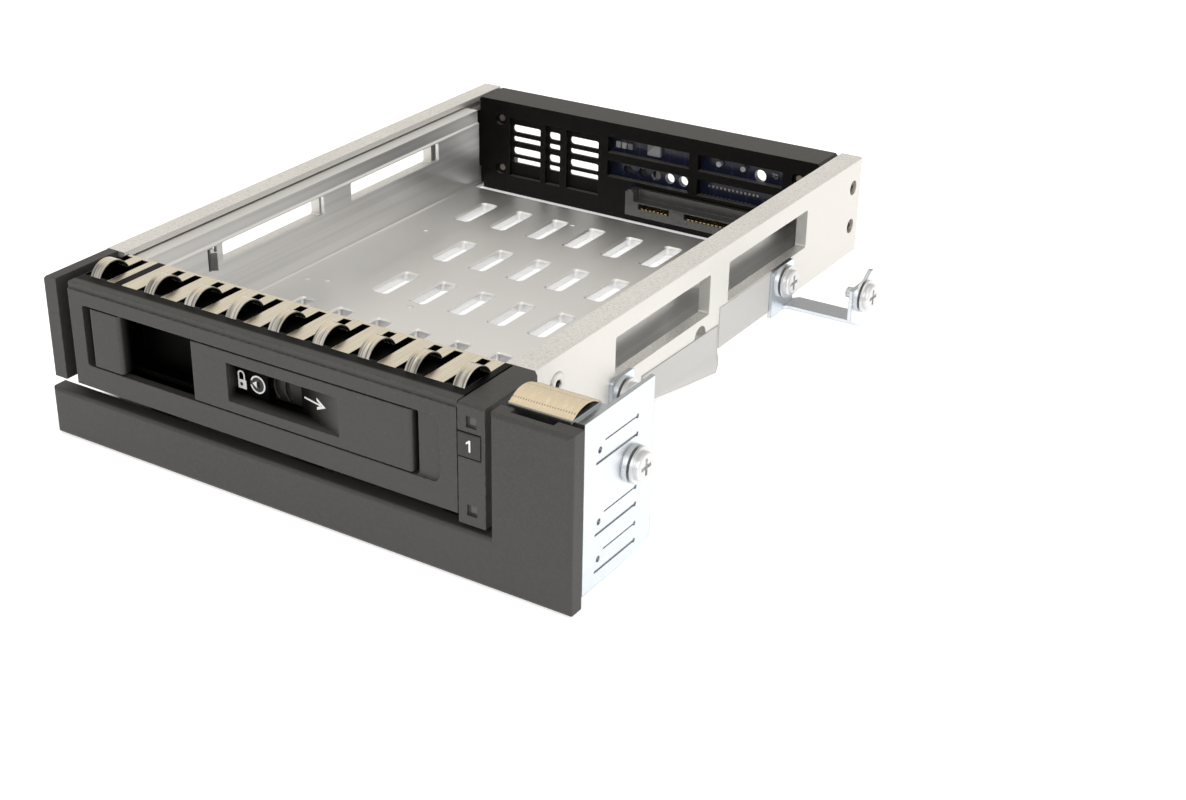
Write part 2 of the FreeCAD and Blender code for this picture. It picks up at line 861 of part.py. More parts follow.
def faceplate():
    """The L shaped bay faceplate: a low bar with a full height block at its right."""
    points = [(0, 0), (bay_width, 0), (bay_width, bay_height), (block_left, bay_height),
              (block_left, bar_height), (0, bar_height)]
    body = section(points, 0, faceplate_depth)
    front = [edge for edge in body.Edges
             if edge.BoundBox.YMax < tiny]
    body = body.makeFillet(faceplate_round, front)
    wall = faceplate_wall
    back = faceplate_depth + over
    cuts = [
        box(wall, block_left - wall, wall, back, wall, bar_height - wall),
        box(block_left + wall, bay_width - wall, wall, back, wall, bay_height - wall),
    ]
    body = body.cut(cuts)
    ribs = []
    for step in range(rib_count):
        x = (step + 1) * block_left / (rib_count + 1)
        ribs.append(box(x - wall / 2.0, x + wall / 2.0, wall / 2.0, faceplate_depth,
                        wall / 2.0, bar_height - wall / 2.0))
    middle = bay_height / 2.0
    ribs.append(box(block_left + wall / 2.0, bay_width - wall / 2.0, wall / 2.0, faceplate_depth,
                    middle - wall / 2.0, middle + wall / 2.0))
    for x in bezel_lug_columns():
        ribs.append(box(x - lug_width / 2.0, x + lug_width / 2.0, wall / 2.0,
                        lug_back(), lug_top - lug_height, lug_top))
        ribs.append(profile([(faceplate_depth - over, lug_top - lug_height / 2.0),
                             (faceplate_depth - over, wall), (faceplate_depth, wall),
                             (crossbar_front, lug_top - lug_height),
                             (crossbar_front, lug_top - lug_height / 2.0)],
                            x - wall / 2.0, x + wall / 2.0))
    for z in boss_levels():
        start = Vector(boss_column(), wall / 2.0, z)
        ribs.append(rod(boss_radius, side_plate_front - wall / 2.0, start, Y_AXIS))
    body = joined([body] + ribs)
    holes = []
    for x in bezel_lug_columns():
        holes.append(rod(small_screw_radius + pin_gap, lug_height + 2,
                         Vector(x, lug_screw_y(), lug_top - lug_height - over), Z_AXIS))
    for z in boss_levels():
        holes.append(rod(small_screw_radius + pin_gap, side_plate_front,
                         Vector(boss_column(), wall, z), Y_AXIS))
    slot_x = gasket_left() + gasket_width / 2.0
    holes.append(box(slot_x - clip_slot_length / 2.0, slot_x + clip_slot_length / 2.0,
                     clip_slot_inset, faceplate_depth + over,
                     bay_height - wall - over, bay_height + over))
    return body.cut(holes)


def boss_column():
    """Where the block's two screw bosses stand."""
    return block_left + block_width * boss_column_share


def boss_levels():
    """The heights of the two bosses."""
    return [bay_height * share for share in boss_level_shares]


# ---------------------------------------------------------------- carrier

def finger_columns():
    """The left side of each contact finger of the long strip."""
    last = carrier_right - strip_right_margin - finger_width
    return [last - finger_pitch * step for step in range(finger_count)][::-1]


def strip_front():
    """The front edge of the shield strips."""
    return carrier_face + strip_front_margin


def long_strip_left():
    """The left end of the long strip."""
    return finger_columns()[0] - finger_slot - (finger_pitch - finger_width - 2 * finger_slot)


def short_strip_bounds():
    """The left and right ends of the short strip."""
    right = long_strip_left() - strip_split
    return (right - short_strip_width, right)


def short_finger_left():
    """The left side of the short strip's one finger."""
    left, right = short_strip_bounds()
    return left + short_finger_inset


def strip_level():
    """The height of the strips' upper face."""
    return carrier_top


def strip_plate(left, right, fingers):
    """A shield strip from left to right, with an arched finger at each place given."""
    level = strip_level()
    front = strip_front()
    back = carrier_back
    plate = box(left, right, front, back, level - strip_thickness, level)
    shapes = []
    slots = []
    for x in fingers:
        x0 = max(x - finger_slot, left)
        x1 = min(x + finger_width + finger_slot, right)
        slots.append(box(x0 if x0 > left else left - over, x1 if x1 < right else right + over,
                         front - over, back - strip_spine, level - over, level + over))
        root = front + finger_reach
        shapes.append(box(x, x + finger_width, root - finger_root_lap, back - strip_spine / 2.0,
                          level - strip_thickness, level))
        shapes.append(arch(x, finger_width, front, finger_reach, finger_rise,
                           level - strip_thickness, strip_thickness))
    plate = plate.cut(slots)
    return joined([plate] + shapes)


def shield_strip():
    """The long strip along the carrier's top, with eight fingers."""
    return strip_plate(long_strip_left(), carrier_right - strip_right_margin, finger_columns())


def short_shield_strip():
    """The short strip at the carrier's left, with one finger."""
    left, right = short_strip_bounds()
    return strip_plate(left, right, [short_finger_left()])


def carrier_front():
    """The carrier's moulded front: an open backed box with the lever's opening."""
    body = box(carrier_left, carrier_right, carrier_face, carrier_back, carrier_bottom, carrier_top)
    step = box(carrier_left - over, carrier_right + over, carrier_face - over, carrier_face + face_step,
               carrier_top - face_step_height, carrier_top + over)
    chamber = box(carrier_left + carrier_wall, carrier_right - carrier_wall,
                  carrier_face + carrier_face_wall, bulkhead_front,
                  carrier_bottom + carrier_floor_wall, roof_underside)
    rear = box(carrier_left + carrier_wall, carrier_right - carrier_wall, bulkhead_back,
               carrier_back + over, carrier_bottom + carrier_floor_wall, roof_underside)
    opening = rounded_box(opening_left, end_panel_left, carrier_face - over,
                          carrier_face + carrier_face_wall + over,
                          opening_bottom, opening_top, opening_left_corner, Y_AXIS)
    panel = box(end_panel_left - opening_corner, opening_right, carrier_face - over,
                carrier_face + end_panel_recess, opening_bottom, opening_top)
    panel = panel.makeFillet(opening_corner, edges_along(
        panel, Y_AXIS, lambda p: p.x > opening_right - near))
    body = body.cut([step, chamber, rear, opening, panel])
    ear_left = pivot_x - pivot_boss_radius - ear_side
    ear_right = end_panel_left + ear_end
    ear_front = carrier_face + carrier_face_wall - join
    ear_back = pivot_y + pivot_boss_radius + ear_side
    ears = [
        box(ear_left, ear_right, ear_front, ear_back, lever_top + lever_gap, roof_underside + join),
        box(ear_left, ear_right, ear_front, ear_back,
            carrier_bottom + carrier_floor_wall - join, lever_bottom - lever_gap),
    ]
    body = joined([body] + ears)
    pin_hole = rod(pivot_pin_radius + press_gap, lever_top - lever_bottom + 2 * (lever_gap + pivot_pin_grip),
                   Vector(pivot_x, pivot_y, lever_bottom - lever_gap - pivot_pin_grip), Z_AXIS)
    cuts = [pin_hole]
    cuts += strip_seats()
    for start, axis, length in tray_screw_places():
        cuts.append(rod(small_screw_radius + pin_gap, carrier_wall + over, start, axis))
        cuts.append(rod(small_head_radius + pin_gap, small_head_height + over, start, axis * -1.0))
    return body.cut(cuts)


def strip_seats():
    """The recesses in the carrier's top that take the shield strips and their fingers."""
    level = strip_level()
    cuts = []
    seats = (
        (long_strip_left(), carrier_right - strip_right_margin, finger_columns()),
        (short_strip_bounds()[0], short_strip_bounds()[1], [short_finger_left()]),
    )
    for left, right, fingers in seats:
        cuts.append(box(left, right, strip_front(), carrier_back + over,
                        level - strip_thickness, level + over))
        for x in fingers:
            x0 = max(x - finger_slot, left)
            x1 = min(x + finger_width + finger_slot, right)
            cuts.append(box(x0, x1, strip_front() + strip_pocket_setback, carrier_back - strip_spine,
                            level - strip_pocket_depth, level + over))
    return cuts


def tray_screw_places():
    """The four screws through the front's side walls into the tray's walls."""
    y = (bulkhead_back + carrier_back) / 2.0 + tray_screw_setback
    sink = small_head_height
    places = []
    length = carrier_wall - sink + fit_gap + sheet
    for share in tray_screw_shares:
        z = carrier_bottom + carrier_height * share
        places.append((Vector(carrier_left + sink, y, z), X_AXIS, length))
        places.append((Vector(carrier_right - sink, y, z), X_AXIS * -1.0, length))
    return places


def tray_screws():
    """The screws that hold the tray to the carrier's front."""
    return group([pan_screw(start, axis, length, small_screw_radius, small_head_radius, small_head_height)
                  for start, axis, length in tray_screw_places()])


def tray_section():
    """The tray's folded sheet, seen from the front."""
    left_out = tray_left - joggle_step
    right_out = tray_right + joggle_step
    return [
        (tray_left, tray_bottom), (tray_right, tray_bottom), (tray_right, joggle_level),
        (right_out, joggle_level + joggle_step), (right_out, hanger_bottom), (hanger_right, hanger_bottom),
        (hanger_right, hanger_top), (right_out - sheet, hanger_top),
        (right_out - sheet, joggle_level + joggle_step + joggle_ease),
        (tray_right - sheet, joggle_level + joggle_ease),
        (tray_right - sheet, tray_floor), (tray_left + sheet, tray_floor),
        (tray_left + sheet, joggle_level + joggle_ease),
        (left_out + sheet, joggle_level + joggle_step + joggle_ease),
        (left_out + sheet, hanger_top), (hanger_left, hanger_top), (hanger_left, hanger_bottom),
        (left_out, hanger_bottom), (left_out, joggle_level + joggle_step), (tray_left, joggle_level),
    ]


def floor_slot_columns():
    """The floor slots' middles, counted from the left."""
    columns = []
    x = floor_slot_first
    while x + floor_slot_width < tray_right - sheet - floor_slot_pitch / 2.0:
        columns.append(x)
        x += floor_slot_pitch
    return columns


def floor_slot_places():
    """The left front corner of every floor slot; the inner rows start one column later."""
    columns = [x - floor_slot_width / 2.0 for x in floor_slot_columns()]
    places = [(x, y) for y in outer_row_starts for x in columns]
    places += [(x, y) for y in inner_row_starts for x in columns[1:]]
    return places


def slot_block(place, grow, z0, z1):
    """A block with a floor slot's outline, made larger by grow all round."""
    x, y = place
    return rounded_box(x - grow, x + floor_slot_width + grow, y - grow, y + floor_slot_length + grow,
                       z0, z1, slot_corner + grow, Z_AXIS)


def slot_funnel(place):
    """The bevelled mouth of a floor slot, as a solid to cut."""
    mouth = slot_block(place, slot_bevel, tray_floor - slot_bevel, tray_floor + over)
    low = [edge for edge in mouth.Edges if edge.BoundBox.ZMax < tray_floor - slot_bevel / 2.0]
    return mouth.makeChamfer(slot_bevel - tiny, low)


def tray():
    """The drive tray: one folded sheet with hangers, windows and a slotted floor."""
    body = section(tray_section(), tray_front, tray_wall_end)
    bends = edges_along(body, Y_AXIS, lambda p: p.z < tray_bottom + tiny)
    body = body.makeFillet(tray_bend, bends)
    inner = edges_along(body, Y_AXIS, lambda p: abs(p.z - tray_floor) < tiny)
    body = body.makeFillet(tray_bend - sheet, inner)
    low = tray_left - tray_side_reach
    high = tray_right + tray_side_reach
    under = hanger_bottom - over
    above = hanger_top + over
    wall_front = tray_front - over
    cuts = [
        box(tray_left + sheet + tray_bend, tray_right - sheet - tray_bend, tray_floor_end,
            tray_wall_end + over, tray_bottom - over, tray_floor + over),
        box(low, tray_left - joggle_step, wall_front, hanger_start, under, above),
        box(tray_right + joggle_step, high, wall_front, hanger_start, under, above),
        box(low, high, wall_front, carrier_back + fit_gap, roof_underside - fit_gap, above),
        box(low, tray_left, wall_front, carrier_back + fit_gap, joggle_level - over, above),
        box(tray_right, high, wall_front, carrier_back + fit_gap, joggle_level - over, above),
    ]
    z0 = tray_floor + tray_window_sill
    for step in range(2):
        y0 = tray_front + tray_window_front_start + step * (tray_window_length + tray_window_gap)
        cuts.append(rounded_box(low, high, y0, y0 + tray_window_length, z0, z0 + tray_window_height,
                                tray_window_corner, X_AXIS))
    flanges = []
    for place in floor_slot_places():
        flanges.append(slot_block(place, slot_flange_wall, tray_bottom - slot_flange_drop,
                                  tray_bottom + sheet / 2.0))
        cuts.append(slot_block(place, 0.0, tray_bottom - slot_flange_drop - over, tray_floor + over))
        cuts.append(slot_funnel(place))
    y0 = tray_front + tab_from_front
    y1 = y0 + tab_width
    low_tab = z0 - tab_drop
    high_tab = low_tab + tab_height
    for x0, x1 in ((tray_left, tray_left + sheet), (tray_right - sheet, tray_right)):
        cuts.append(box(x0 - over, x1 + over, y0, y1, low_tab, high_tab))
    for start, axis, length in tray_screw_places():
        cuts.append(rod(small_screw_radius + pin_gap, carrier_wall + sheet + 2 * over, start, axis))
    tabs = []
    for x0, lean in ((tray_left, INWARD_LEFT), (tray_right - sheet, INWARD_RIGHT)):
        tabs.append(box(x0, x0 + sheet, y0 + tab_margin, y1 - tab_margin,
                        low_tab - tab_foot, high_tab - tab_top_gap))
        foot = x0 + sheet if lean > 0 else x0
        tip = foot + lean * tab_reach
        tabs.append(slab([(foot, y0 + tab_margin), (tip, y1 - tab_reach),
                          (tip, y1 - tab_margin), (foot, y1 - tab_margin)],
                         low_tab, high_tab - tab_margin))
    body = joined([body] + flanges).cut(cuts)
    return joined([body] + tabs)


# ---------------------------------------------------------------- lever, latch and lock

def lever():
    """The lever: grip block, finger pocket, plate with its dished window, pivot boss."""
    block = box(lever_left, lever_block_right, carrier_face, carrier_face + lever_block_depth,
                lever_bottom, lever_top)
    block = block.makeFillet(grip_corner, edges_along(block, Z_AXIS, lambda p: p.y < carrier_face + near))
    plate = box(plate_left, lever_right, carrier_face, lever_back, lever_bottom, lever_top)
    plate = plate.makeFillet(lever_corner, edges_along(plate, Z_AXIS, lambda p: p.y < carrier_face + near))
    pocket_front = carrier_face + pocket_setback
    pocket_floor = carrier_face + lever_block_depth
    pocket_back = pocket_floor + pocket_wall
    web_end = plate_left + web_lap
    back_wall = box(lever_left, web_end, pocket_floor, pocket_back, lever_bottom, lever_top)
    ledges = [
        box(lever_left, web_end, pocket_front, pocket_back, lever_bottom, lever_bottom + pocket_wall),
        box(lever_left, web_end, pocket_front, pocket_back, lever_top - pocket_wall, lever_top),
    ]
    hidden_front = carrier_face + lever_thickness / 2.0
    side_wall = box(plate_left, plate_left + pocket_wall, hidden_front, pocket_back, lever_bottom, lever_top)
    pod = box(dish_x - dish_wall, dish_right + dish_wall, hidden_front, dish_back,
              dish_bottom - dish_wall, dish_top + dish_wall)
    guides = []
    guide_left = port_left - guide_wall
    guide_right = dish_right + dish_wall
    guide_front = dish_back - join
    upper = port_top + slide_gap
    lower = port_bottom - slide_gap
    for z0, z1, lip0, lip1 in (
            (upper, guide_top + slide_gap, upper - guide_lip, guide_top + slide_gap),
            (guide_bottom - slide_gap, lower, guide_bottom - slide_gap, lower + guide_lip)):
        guides.append(box(guide_left, guide_right, guide_front, guide_back, z0, z1))
        guides.append(box(guide_left, guide_right, slide_back + slide_gap, guide_back, lip0, lip1))
    stop = box(dish_right - dish_wall, guide_right, guide_front, guide_back,
               guide_bottom - slide_gap, guide_top + slide_gap)
    boss = rod(pivot_boss_radius, lever_top - lever_bottom, Vector(pivot_x, pivot_y, lever_bottom), Z_AXIS)
    body = joined([block, plate, back_wall, side_wall, pod, stop, boss] + ledges + guides)
    dish = slab([(dish_x, carrier_face - over), (dish_right, carrier_face - over),
                 (dish_right, carrier_face + dish_ramp_step),
                 (dish_right - dish_ramp_width, dish_floor), (dish_x, dish_floor)], dish_bottom, dish_top)
    dish = dish.makeFillet(dish_round, edges_along(
        dish, Z_AXIS, lambda p: abs(p.x - dish_right + dish_ramp_width) < tiny and p.y > carrier_face))
    chute = profile([(carrier_face - over, dish_bottom), (carrier_face, dish_bottom),
                     (dish_floor, dish_bottom + dish_chute), (dish_floor, dish_top),
                     (carrier_face - over, dish_top)],
                    dish_x - over, dish_right + over)
    dish = dish.common(chute)
    port = box(port_left, port_right, dish_floor - dish_wall, dish_back + over, port_bottom, port_top)
    tunnel = box(port_left, dish_right - dish_wall, dish_back, slide_back + slide_gap,
                 port_bottom - slide_gap, port_top + slide_gap)
    lock_hole = rod(lock_radius + pin_gap, dish_wall + 2 * over,
                    Vector(lock_x, dish_floor - over, lock_z), Y_AXIS)
    pin_hole = rod(pivot_pin_radius + pin_gap, lever_top - lever_bottom + 2 * over,
                   Vector(pivot_x, pivot_y, lever_bottom - over), Z_AXIS)
    return body.cut([dish, port, tunnel, lock_hole, pin_hole])


def lever_pin():
    """The steel pin that the lever turns on."""
    reach = lever_gap + pivot_pin_grip
    length = lever_top - lever_bottom + 2 * reach
    pin = rod(pivot_pin_radius, length, Vector(pivot_x, pivot_y, lever_bottom - reach), Z_AXIS)
    ends = [edge for edge in pin.Edges if isinstance(edge.Curve, Part.Circle)]
    return pin.makeChamfer(pivot_pin_chamfer, ends)


def ridge(x):
    """One bowed grip ridge on the latch slide."""
    height = port_top - port_bottom - 2 * (slide_gap + ridge_margin)
    z0 = port_bottom + slide_gap + ridge_margin
    depth = slide_grip_rise + join
    chord = height / 2.0
    radius = (chord ** 2 + ridge_bow ** 2) / (2.0 * ridge_bow)
    centre = Vector(x + radius, slide_front - slide_grip_rise, z0 + chord)
    outer = rod(radius, depth, centre, Y_AXIS)
    inner = rod(radius - ridge_width, depth, centre, Y_AXIS)
    crescent = outer.cut(inner)
    return crescent.common(box(x - tiny, x + ridge_bow + ridge_width, centre.y, centre.y + depth,
                               z0, z0 + height))


def latch_slide():
    """The latch slide: a flat bar behind the dish with bowed ridges for the thumb."""
    base = box(slide_left, slide_right, slide_front, slide_back, port_bottom, port_top)
    ridges = []
    for index in range(ridge_count):
        ridges.append(ridge(slide_left + index * ridge_pitch))
    post = rod(spring_post_radius, spring_room() * spring_post_share,
               Vector(slide_right, spring_y(), spring_z()), X_AXIS)
    return joined([base, post] + ridges)


def spring_y():
    """The depth of the latch spring's line."""
    return (slide_front + slide_back) / 2.0


def spring_z():
    """The height of the latch spring's line."""
    return (port_bottom + port_top) / 2.0


def spring_room():
    """The length that the latch spring has at rest."""
    return spring_space


def latch_spring():
    """The small coil spring that pushes the slide back to the left."""
    length = spring_room() - 2 * fit_gap
    height = length - spring_wire
    helix = Part.makeHelix(height / spring_turns, height, spring_radius)
    start = Vector(spring_radius, 0, 0)
    circle = Part.Wire(Part.makeCircle(spring_wire / 2.0, start, Vector(0, 1, 0)))
    coil = Part.Wire(helix.Edges).makePipeShell([circle], True, True)
    coil.rotate(Vector(0, 0, 0), Y_AXIS, 90)
    coil.translate(Vector(slide_right + fit_gap + spring_wire / 2.0, spring_y(), spring_z()))
    return coil


def lock_barrel():
    """The key lock's barrel, with its key mark in front and its cam behind."""
    front = dish_floor - lock_proud
    barrel = rod(lock_radius, lock_length, Vector(lock_x, front, lock_z), Y_AXIS)
    cam = box(lock_x - lock_radius - lock_cam_reach, lock_x, dish_back + slide_gap, front + lock_length,
              lock_z - lock_radius * lock_cam_share, lock_z + lock_radius * lock_cam_share)
    body = joined([barrel, cam])
    size = keyhole_size
    tail = lock_x + size * keyhole_tail_share
    mark = section([(lock_x - size, lock_z), (tail, lock_z + size), (tail, lock_z - size)],
                   front - over, front + keyhole_depth)
    return body.cut(mark)


# ---------------------------------------------------------------- backplane

def backplane_frame():
    """The moulded frame at the back, with air slots, windows and side lugs."""
    x0 = left_lip + fit_gap
    x1 = right_lip - fit_gap
    body = box(x0, x1, frame_front, frame_back, frame_bottom, frame_top)
    body = body.makeChamfer(frame_left_bevel, edges_along(
        body, Y_AXIS, lambda p: p.z > frame_top - over and p.x < x0 + over))
    body = body.makeChamfer(frame_right_bevel, edges_along(
        body, Y_AXIS, lambda p: p.z > frame_top - over and p.x > x1 - over))
    inside = box(x0 + frame_wall, x1 - frame_wall, frame_front + frame_wall, frame_back + over,
                 frame_bottom + frame_wall, frame_top - frame_wall)
    body = body.cut(inside)
    side_lug_top = groove_bottom - guide_rib - slide_gap
    side_lug_bottom = side_lug_top - frame_lug_height
    lugs = [
        box(left_web + fit_gap, x0 + join, frame_front, frame_back, side_lug_bottom, side_lug_top),
        box(x1 - join, right_web - fit_gap, frame_front, frame_back, side_lug_bottom, side_lug_top),
    ]
    bosses = []
    for x, z in board_screw_places():
        bosses.append(rod(boss_radius, board_front - frame_front - frame_wall / 2.0,
                          Vector(x, frame_front + frame_wall / 2.0, z), Y_AXIS))
    low = vent_rows[0][0] - vent_pocket_below
    high = vent_rows[-1][0] + vent_rows[-1][1] + vent_pocket_above
    cuts = []
    for left, right in vent_columns:
        cuts.append(box(left - vent_pocket_side, right + vent_pocket_side, frame_front - over,
                        frame_front + vent_pocket_depth, low, high))
        for z, height in vent_rows:
            cuts.append(rounded_box(left, right, frame_front - over, frame_front + frame_wall + over,
                                    z, z + height, height * vent_round_share, Y_AXIS))
    for left, right in board_window_columns:
        for bottom, top in board_window_rows:
            cuts.append(box(left, right, frame_front - over, frame_front + frame_wall + over, bottom, top))
    cuts.append(box(connector_left - slide_gap, connector_left + connector_width + slide_gap,
                    frame_front - over, frame_front + frame_wall + over,
                    connector_bottom - slide_gap, connector_bottom + connector_height + slide_gap))
    for z in frame_screw_levels():
        for start in (left_web - over, right_web - frame_screw_grip - over):
            cuts.append(rod(small_screw_radius + pin_gap, frame_screw_grip + 2 * over,
                            Vector(start, frame_screw_y(), z), X_AXIS))
    for x, z in board_screw_places():
        cuts.append(rod(small_screw_radius + pin_gap, board_front - frame_front + 2 * over,
                        Vector(x, frame_front - over, z), Y_AXIS))
        cuts.append(rod(screw_well_radius, screw_well_depth + over,
                        Vector(x, frame_front - over, z), Y_AXIS))
    return joined([body] + lugs + bosses).cut(cuts)


def board_screw_places():
    """The four screws that hold the board behind the frame, (x, z)."""
    upper = frame_top - board_screw_drop
    lower = frame_bottom + board_screw_rise
    columns = (left_lip + board_screw_inset, right_lip - board_screw_inset)
    return [(x, z) for x in columns for z in (upper, lower)]


def board():
    """The backplane's circuit board, cut away behind the air slots."""
    x0 = left_lip + fit_gap + frame_wall + slide_gap
    x1 = right_lip - fit_gap - frame_wall - slide_gap
    z0 = frame_bottom + frame_wall + slide_gap
    z1 = frame_top - frame_wall - slide_gap
    body = box(x0, x1, board_front, board_back, z0, z1)
    vent_left = vent_columns[0][0] - board_vent_margin
    vent_right = vent_columns[-1][1] + board_vent_margin
    front = board_front - over
    back = board_back + over
    low = vent_rows[0][0]
    high = vent_rows[-1][0] + vent_rows[-1][1]
    cuts = [
        box(vent_left, vent_right, front, back, low - board_vent_margin * 2.0, high + board_vent_margin),
        box(vent_left - board_vent_reach, vent_right, front, back, low, high - board_vent_side_drop),
    ]
    for x in board_hole_columns:
        cuts.append(rod(board_hole_radius, back - front, Vector(x, front, board_hole_height), Y_AXIS))
    for x, z in board_screw_places():
        cuts.append(rod(small_screw_radius + pin_gap, back - front, Vector(x, front, z), Y_AXIS))
    hole_x = board_window_columns[-1][1] - air_hole_inset
    hole_z = board_window_rows[-1][0] + air_hole_rise
    cuts.append(rod(air_hole_radius, back - front, Vector(hole_x, front, hole_z), Y_AXIS))
    return body.cut(cuts)


def board_parts():
    """The parts on the board's front that the frame's windows show."""
    parts = []
    left = board_window_columns[0][0]
    bottom = board_window_rows[-1][0]
    low = bottom + chip_rise
    for step in range(chip_count):
        x0 = left + chip_inset + step * chip_pitch
        parts.append(box(x0, x0 + chip_width, board_front - chip_depth, board_front, low, low + chip_height))
    x0 = left + module_inset
    parts.append(box(x0, x0 + module_width, board_front - module_depth, board_front,
                     bottom + module_rise, bottom + module_rise + module_height))
    for inset in round_part_insets:
        centre = Vector(board_window_columns[-1][0] + inset, board_front - round_part_height,
                        bottom + round_part_rise)
        parts.append(rod(round_part_radius, round_part_height, centre, Y_AXIS))
    return group(parts)


def drive_connector():
    """The socket that the drive plugs into, with a signal slot and a power slot."""
    x1 = connector_left + connector_width
    z1 = connector_bottom + connector_height
    body = box(connector_left, x1, connector_front, board_front, connector_bottom, z1)
    guide = box(connector_left + connector_post, x1 - connector_post, connector_front - over,
                frame_front - connector_shelf_gap,
                connector_bottom + connector_height * connector_shelf_share, z1 + over)
    cuts = [guide]
    for first, count in ((signal_start, signal_contacts), (power_start, power_contacts)):
        left = connector_left + first - contact_pitch
        right = connector_left + first + (count - 1) * contact_pitch + contact_pitch
        z0 = contact_level()
        cuts.append(box(left, right, connector_front - over, connector_front + connector_slot_depth,
                        z0, z0 + connector_slot_height))
    return body.cut(cuts)


def contact_level():
    """The floor of the connector's slots, on which the contacts lie."""
    return connector_bottom + contact_rise


def drive_contacts():
    """The gilt contacts in the drive connector's two slots."""
    bars = []
    half = contact_width / 2.0
    for first, count in ((signal_start, signal_contacts), (power_start, power_contacts)):
        for index in range(count):
            x = connector_left + first + index * contact_pitch
            bars.append(box(x - half, x + half, connector_front + contact_setback,
                            connector_front + connector_slot_depth, contact_level(),
                            contact_level() + contact_thickness))
    return group(bars)


def rear_socket(share, width):
    """A socket on the board's back, open to the rear, with a key at one end."""
    left = left_lip + frame_span * share
    z0 = (frame_bottom + frame_top) / 2.0 - socket_height
    middle = z0 + socket_height / 2.0
    right = left + width
    mouth = board_back + socket_depth
    body = box(left, right, board_back, mouth, z0, z0 + socket_height)
    hollow = box(left + socket_wall, right - socket_wall, board_back + socket_wall,
                 mouth + over, z0 + socket_wall, z0 + socket_height - socket_wall)
    blade_right = right - socket_wall - socket_blade_gap
    root = board_back + socket_wall - join
    tip = mouth - socket_blade_gap
    blade = box(left + socket_wall + socket_blade_gap, blade_right, root, tip,
                middle - socket_blade / 2.0, middle + socket_blade / 2.0)
    hook = box(blade_right - socket_key, blade_right, root, tip, middle - socket_key, middle)
    return joined([body.cut(hollow), blade, hook])


# ---------------------------------------------------------------- brackets

def louvre_cuts():
    """The three lanced strips of the side bracket: two slits each, with relief holes."""
    cuts = []
    front = side_plate_front + louvre_start
    back = front + louvre_length
    x0 = side_plate_inner - over
    x1 = side_plate_outer + over
    for level in louvre_levels:
        top = level + louvre_height
        cuts.append(box(x0, x1, front, back, level - louvre_slit, level))
        cuts.append(box(x0, x1, front + louvre_thin_start, back, top, top + louvre_thin_slit))
        eyes = (
            (louvre_eye_radius, front + louvre_eye_radius * 2.0, level + louvre_eye_rise),
            (louvre_end_radius, back, level - louvre_slit / 2.0),
            (louvre_end_radius, back, top + louvre_thin_slit / 2.0),
        )
        for radius, y, z in eyes:
            cuts.append(rod(radius, x1 - x0, Vector(x0, y, z), X_AXIS))
    return cuts


def side_bracket():
    """The folded zinc bracket that fills the bay to the right of the cage's front."""
    z0 = side_plate_margin
    z1 = shelf_top
    outer = box(side_plate_inner, side_plate_outer, side_plate_front, side_plate_back, z0, z1)
    web = box(block_left + bracket_end_gap, side_plate_outer,
              side_plate_front, side_plate_front + bracket_sheet, z0, z1)
    shelf = box(block_left + bracket_end_gap, side_plate_outer, side_plate_front,
                gasket_back() + shelf_overhang, shelf_bottom, shelf_top)
    leg_bottom = rail_bottom + bracket_leg_rise
    leg_top = leg_bottom + bracket_leg_height
    rear_front = side_plate_back - bracket_sheet
    rear = box(rail_right, side_plate_outer, rear_front, side_plate_back, leg_bottom, leg_top)
    pad_half = washer_radius + pad_rim
    leg = box(rail_right, rail_right + bracket_sheet, rear_front, side_hole_y, leg_bottom, leg_top)
    pad = rounded_box(rail_right, rail_right + bracket_sheet, side_hole_y - pad_half, side_hole_y + pad_half,
                      leg_bottom, side_hole_height + pad_half, pad_corner, X_AXIS)
    cuts = louvre_cuts()
    body = joined([outer, web, shelf, rear, leg, pad])
    through = bracket_sheet + 2 * over
    cuts.append(rod(screw_radius + fit_gap, through,
                    Vector(rail_right - over, side_hole_y, side_hole_height), X_AXIS))
    cuts.append(rod(side_hole_radius, through,
                    Vector(side_plate_inner - over, side_screw_y, bracket_screw_height), X_AXIS))
    for z in boss_levels():
        cuts.append(rod(small_screw_radius + pin_gap, through,
                        Vector(boss_column(), side_plate_front - over, z), Y_AXIS))
    foot_y = gasket_front() + clip_foot_setback
    for x in clip_feet_columns():
        half = clip_foot_width / 2.0 + fit_gap
        cuts.append(box(x - half, x + half, foot_y - fit_gap, foot_y + clip_foot_depth + fit_gap,
                        shelf_bottom - over, shelf_top + over))
    return body.cut(cuts)


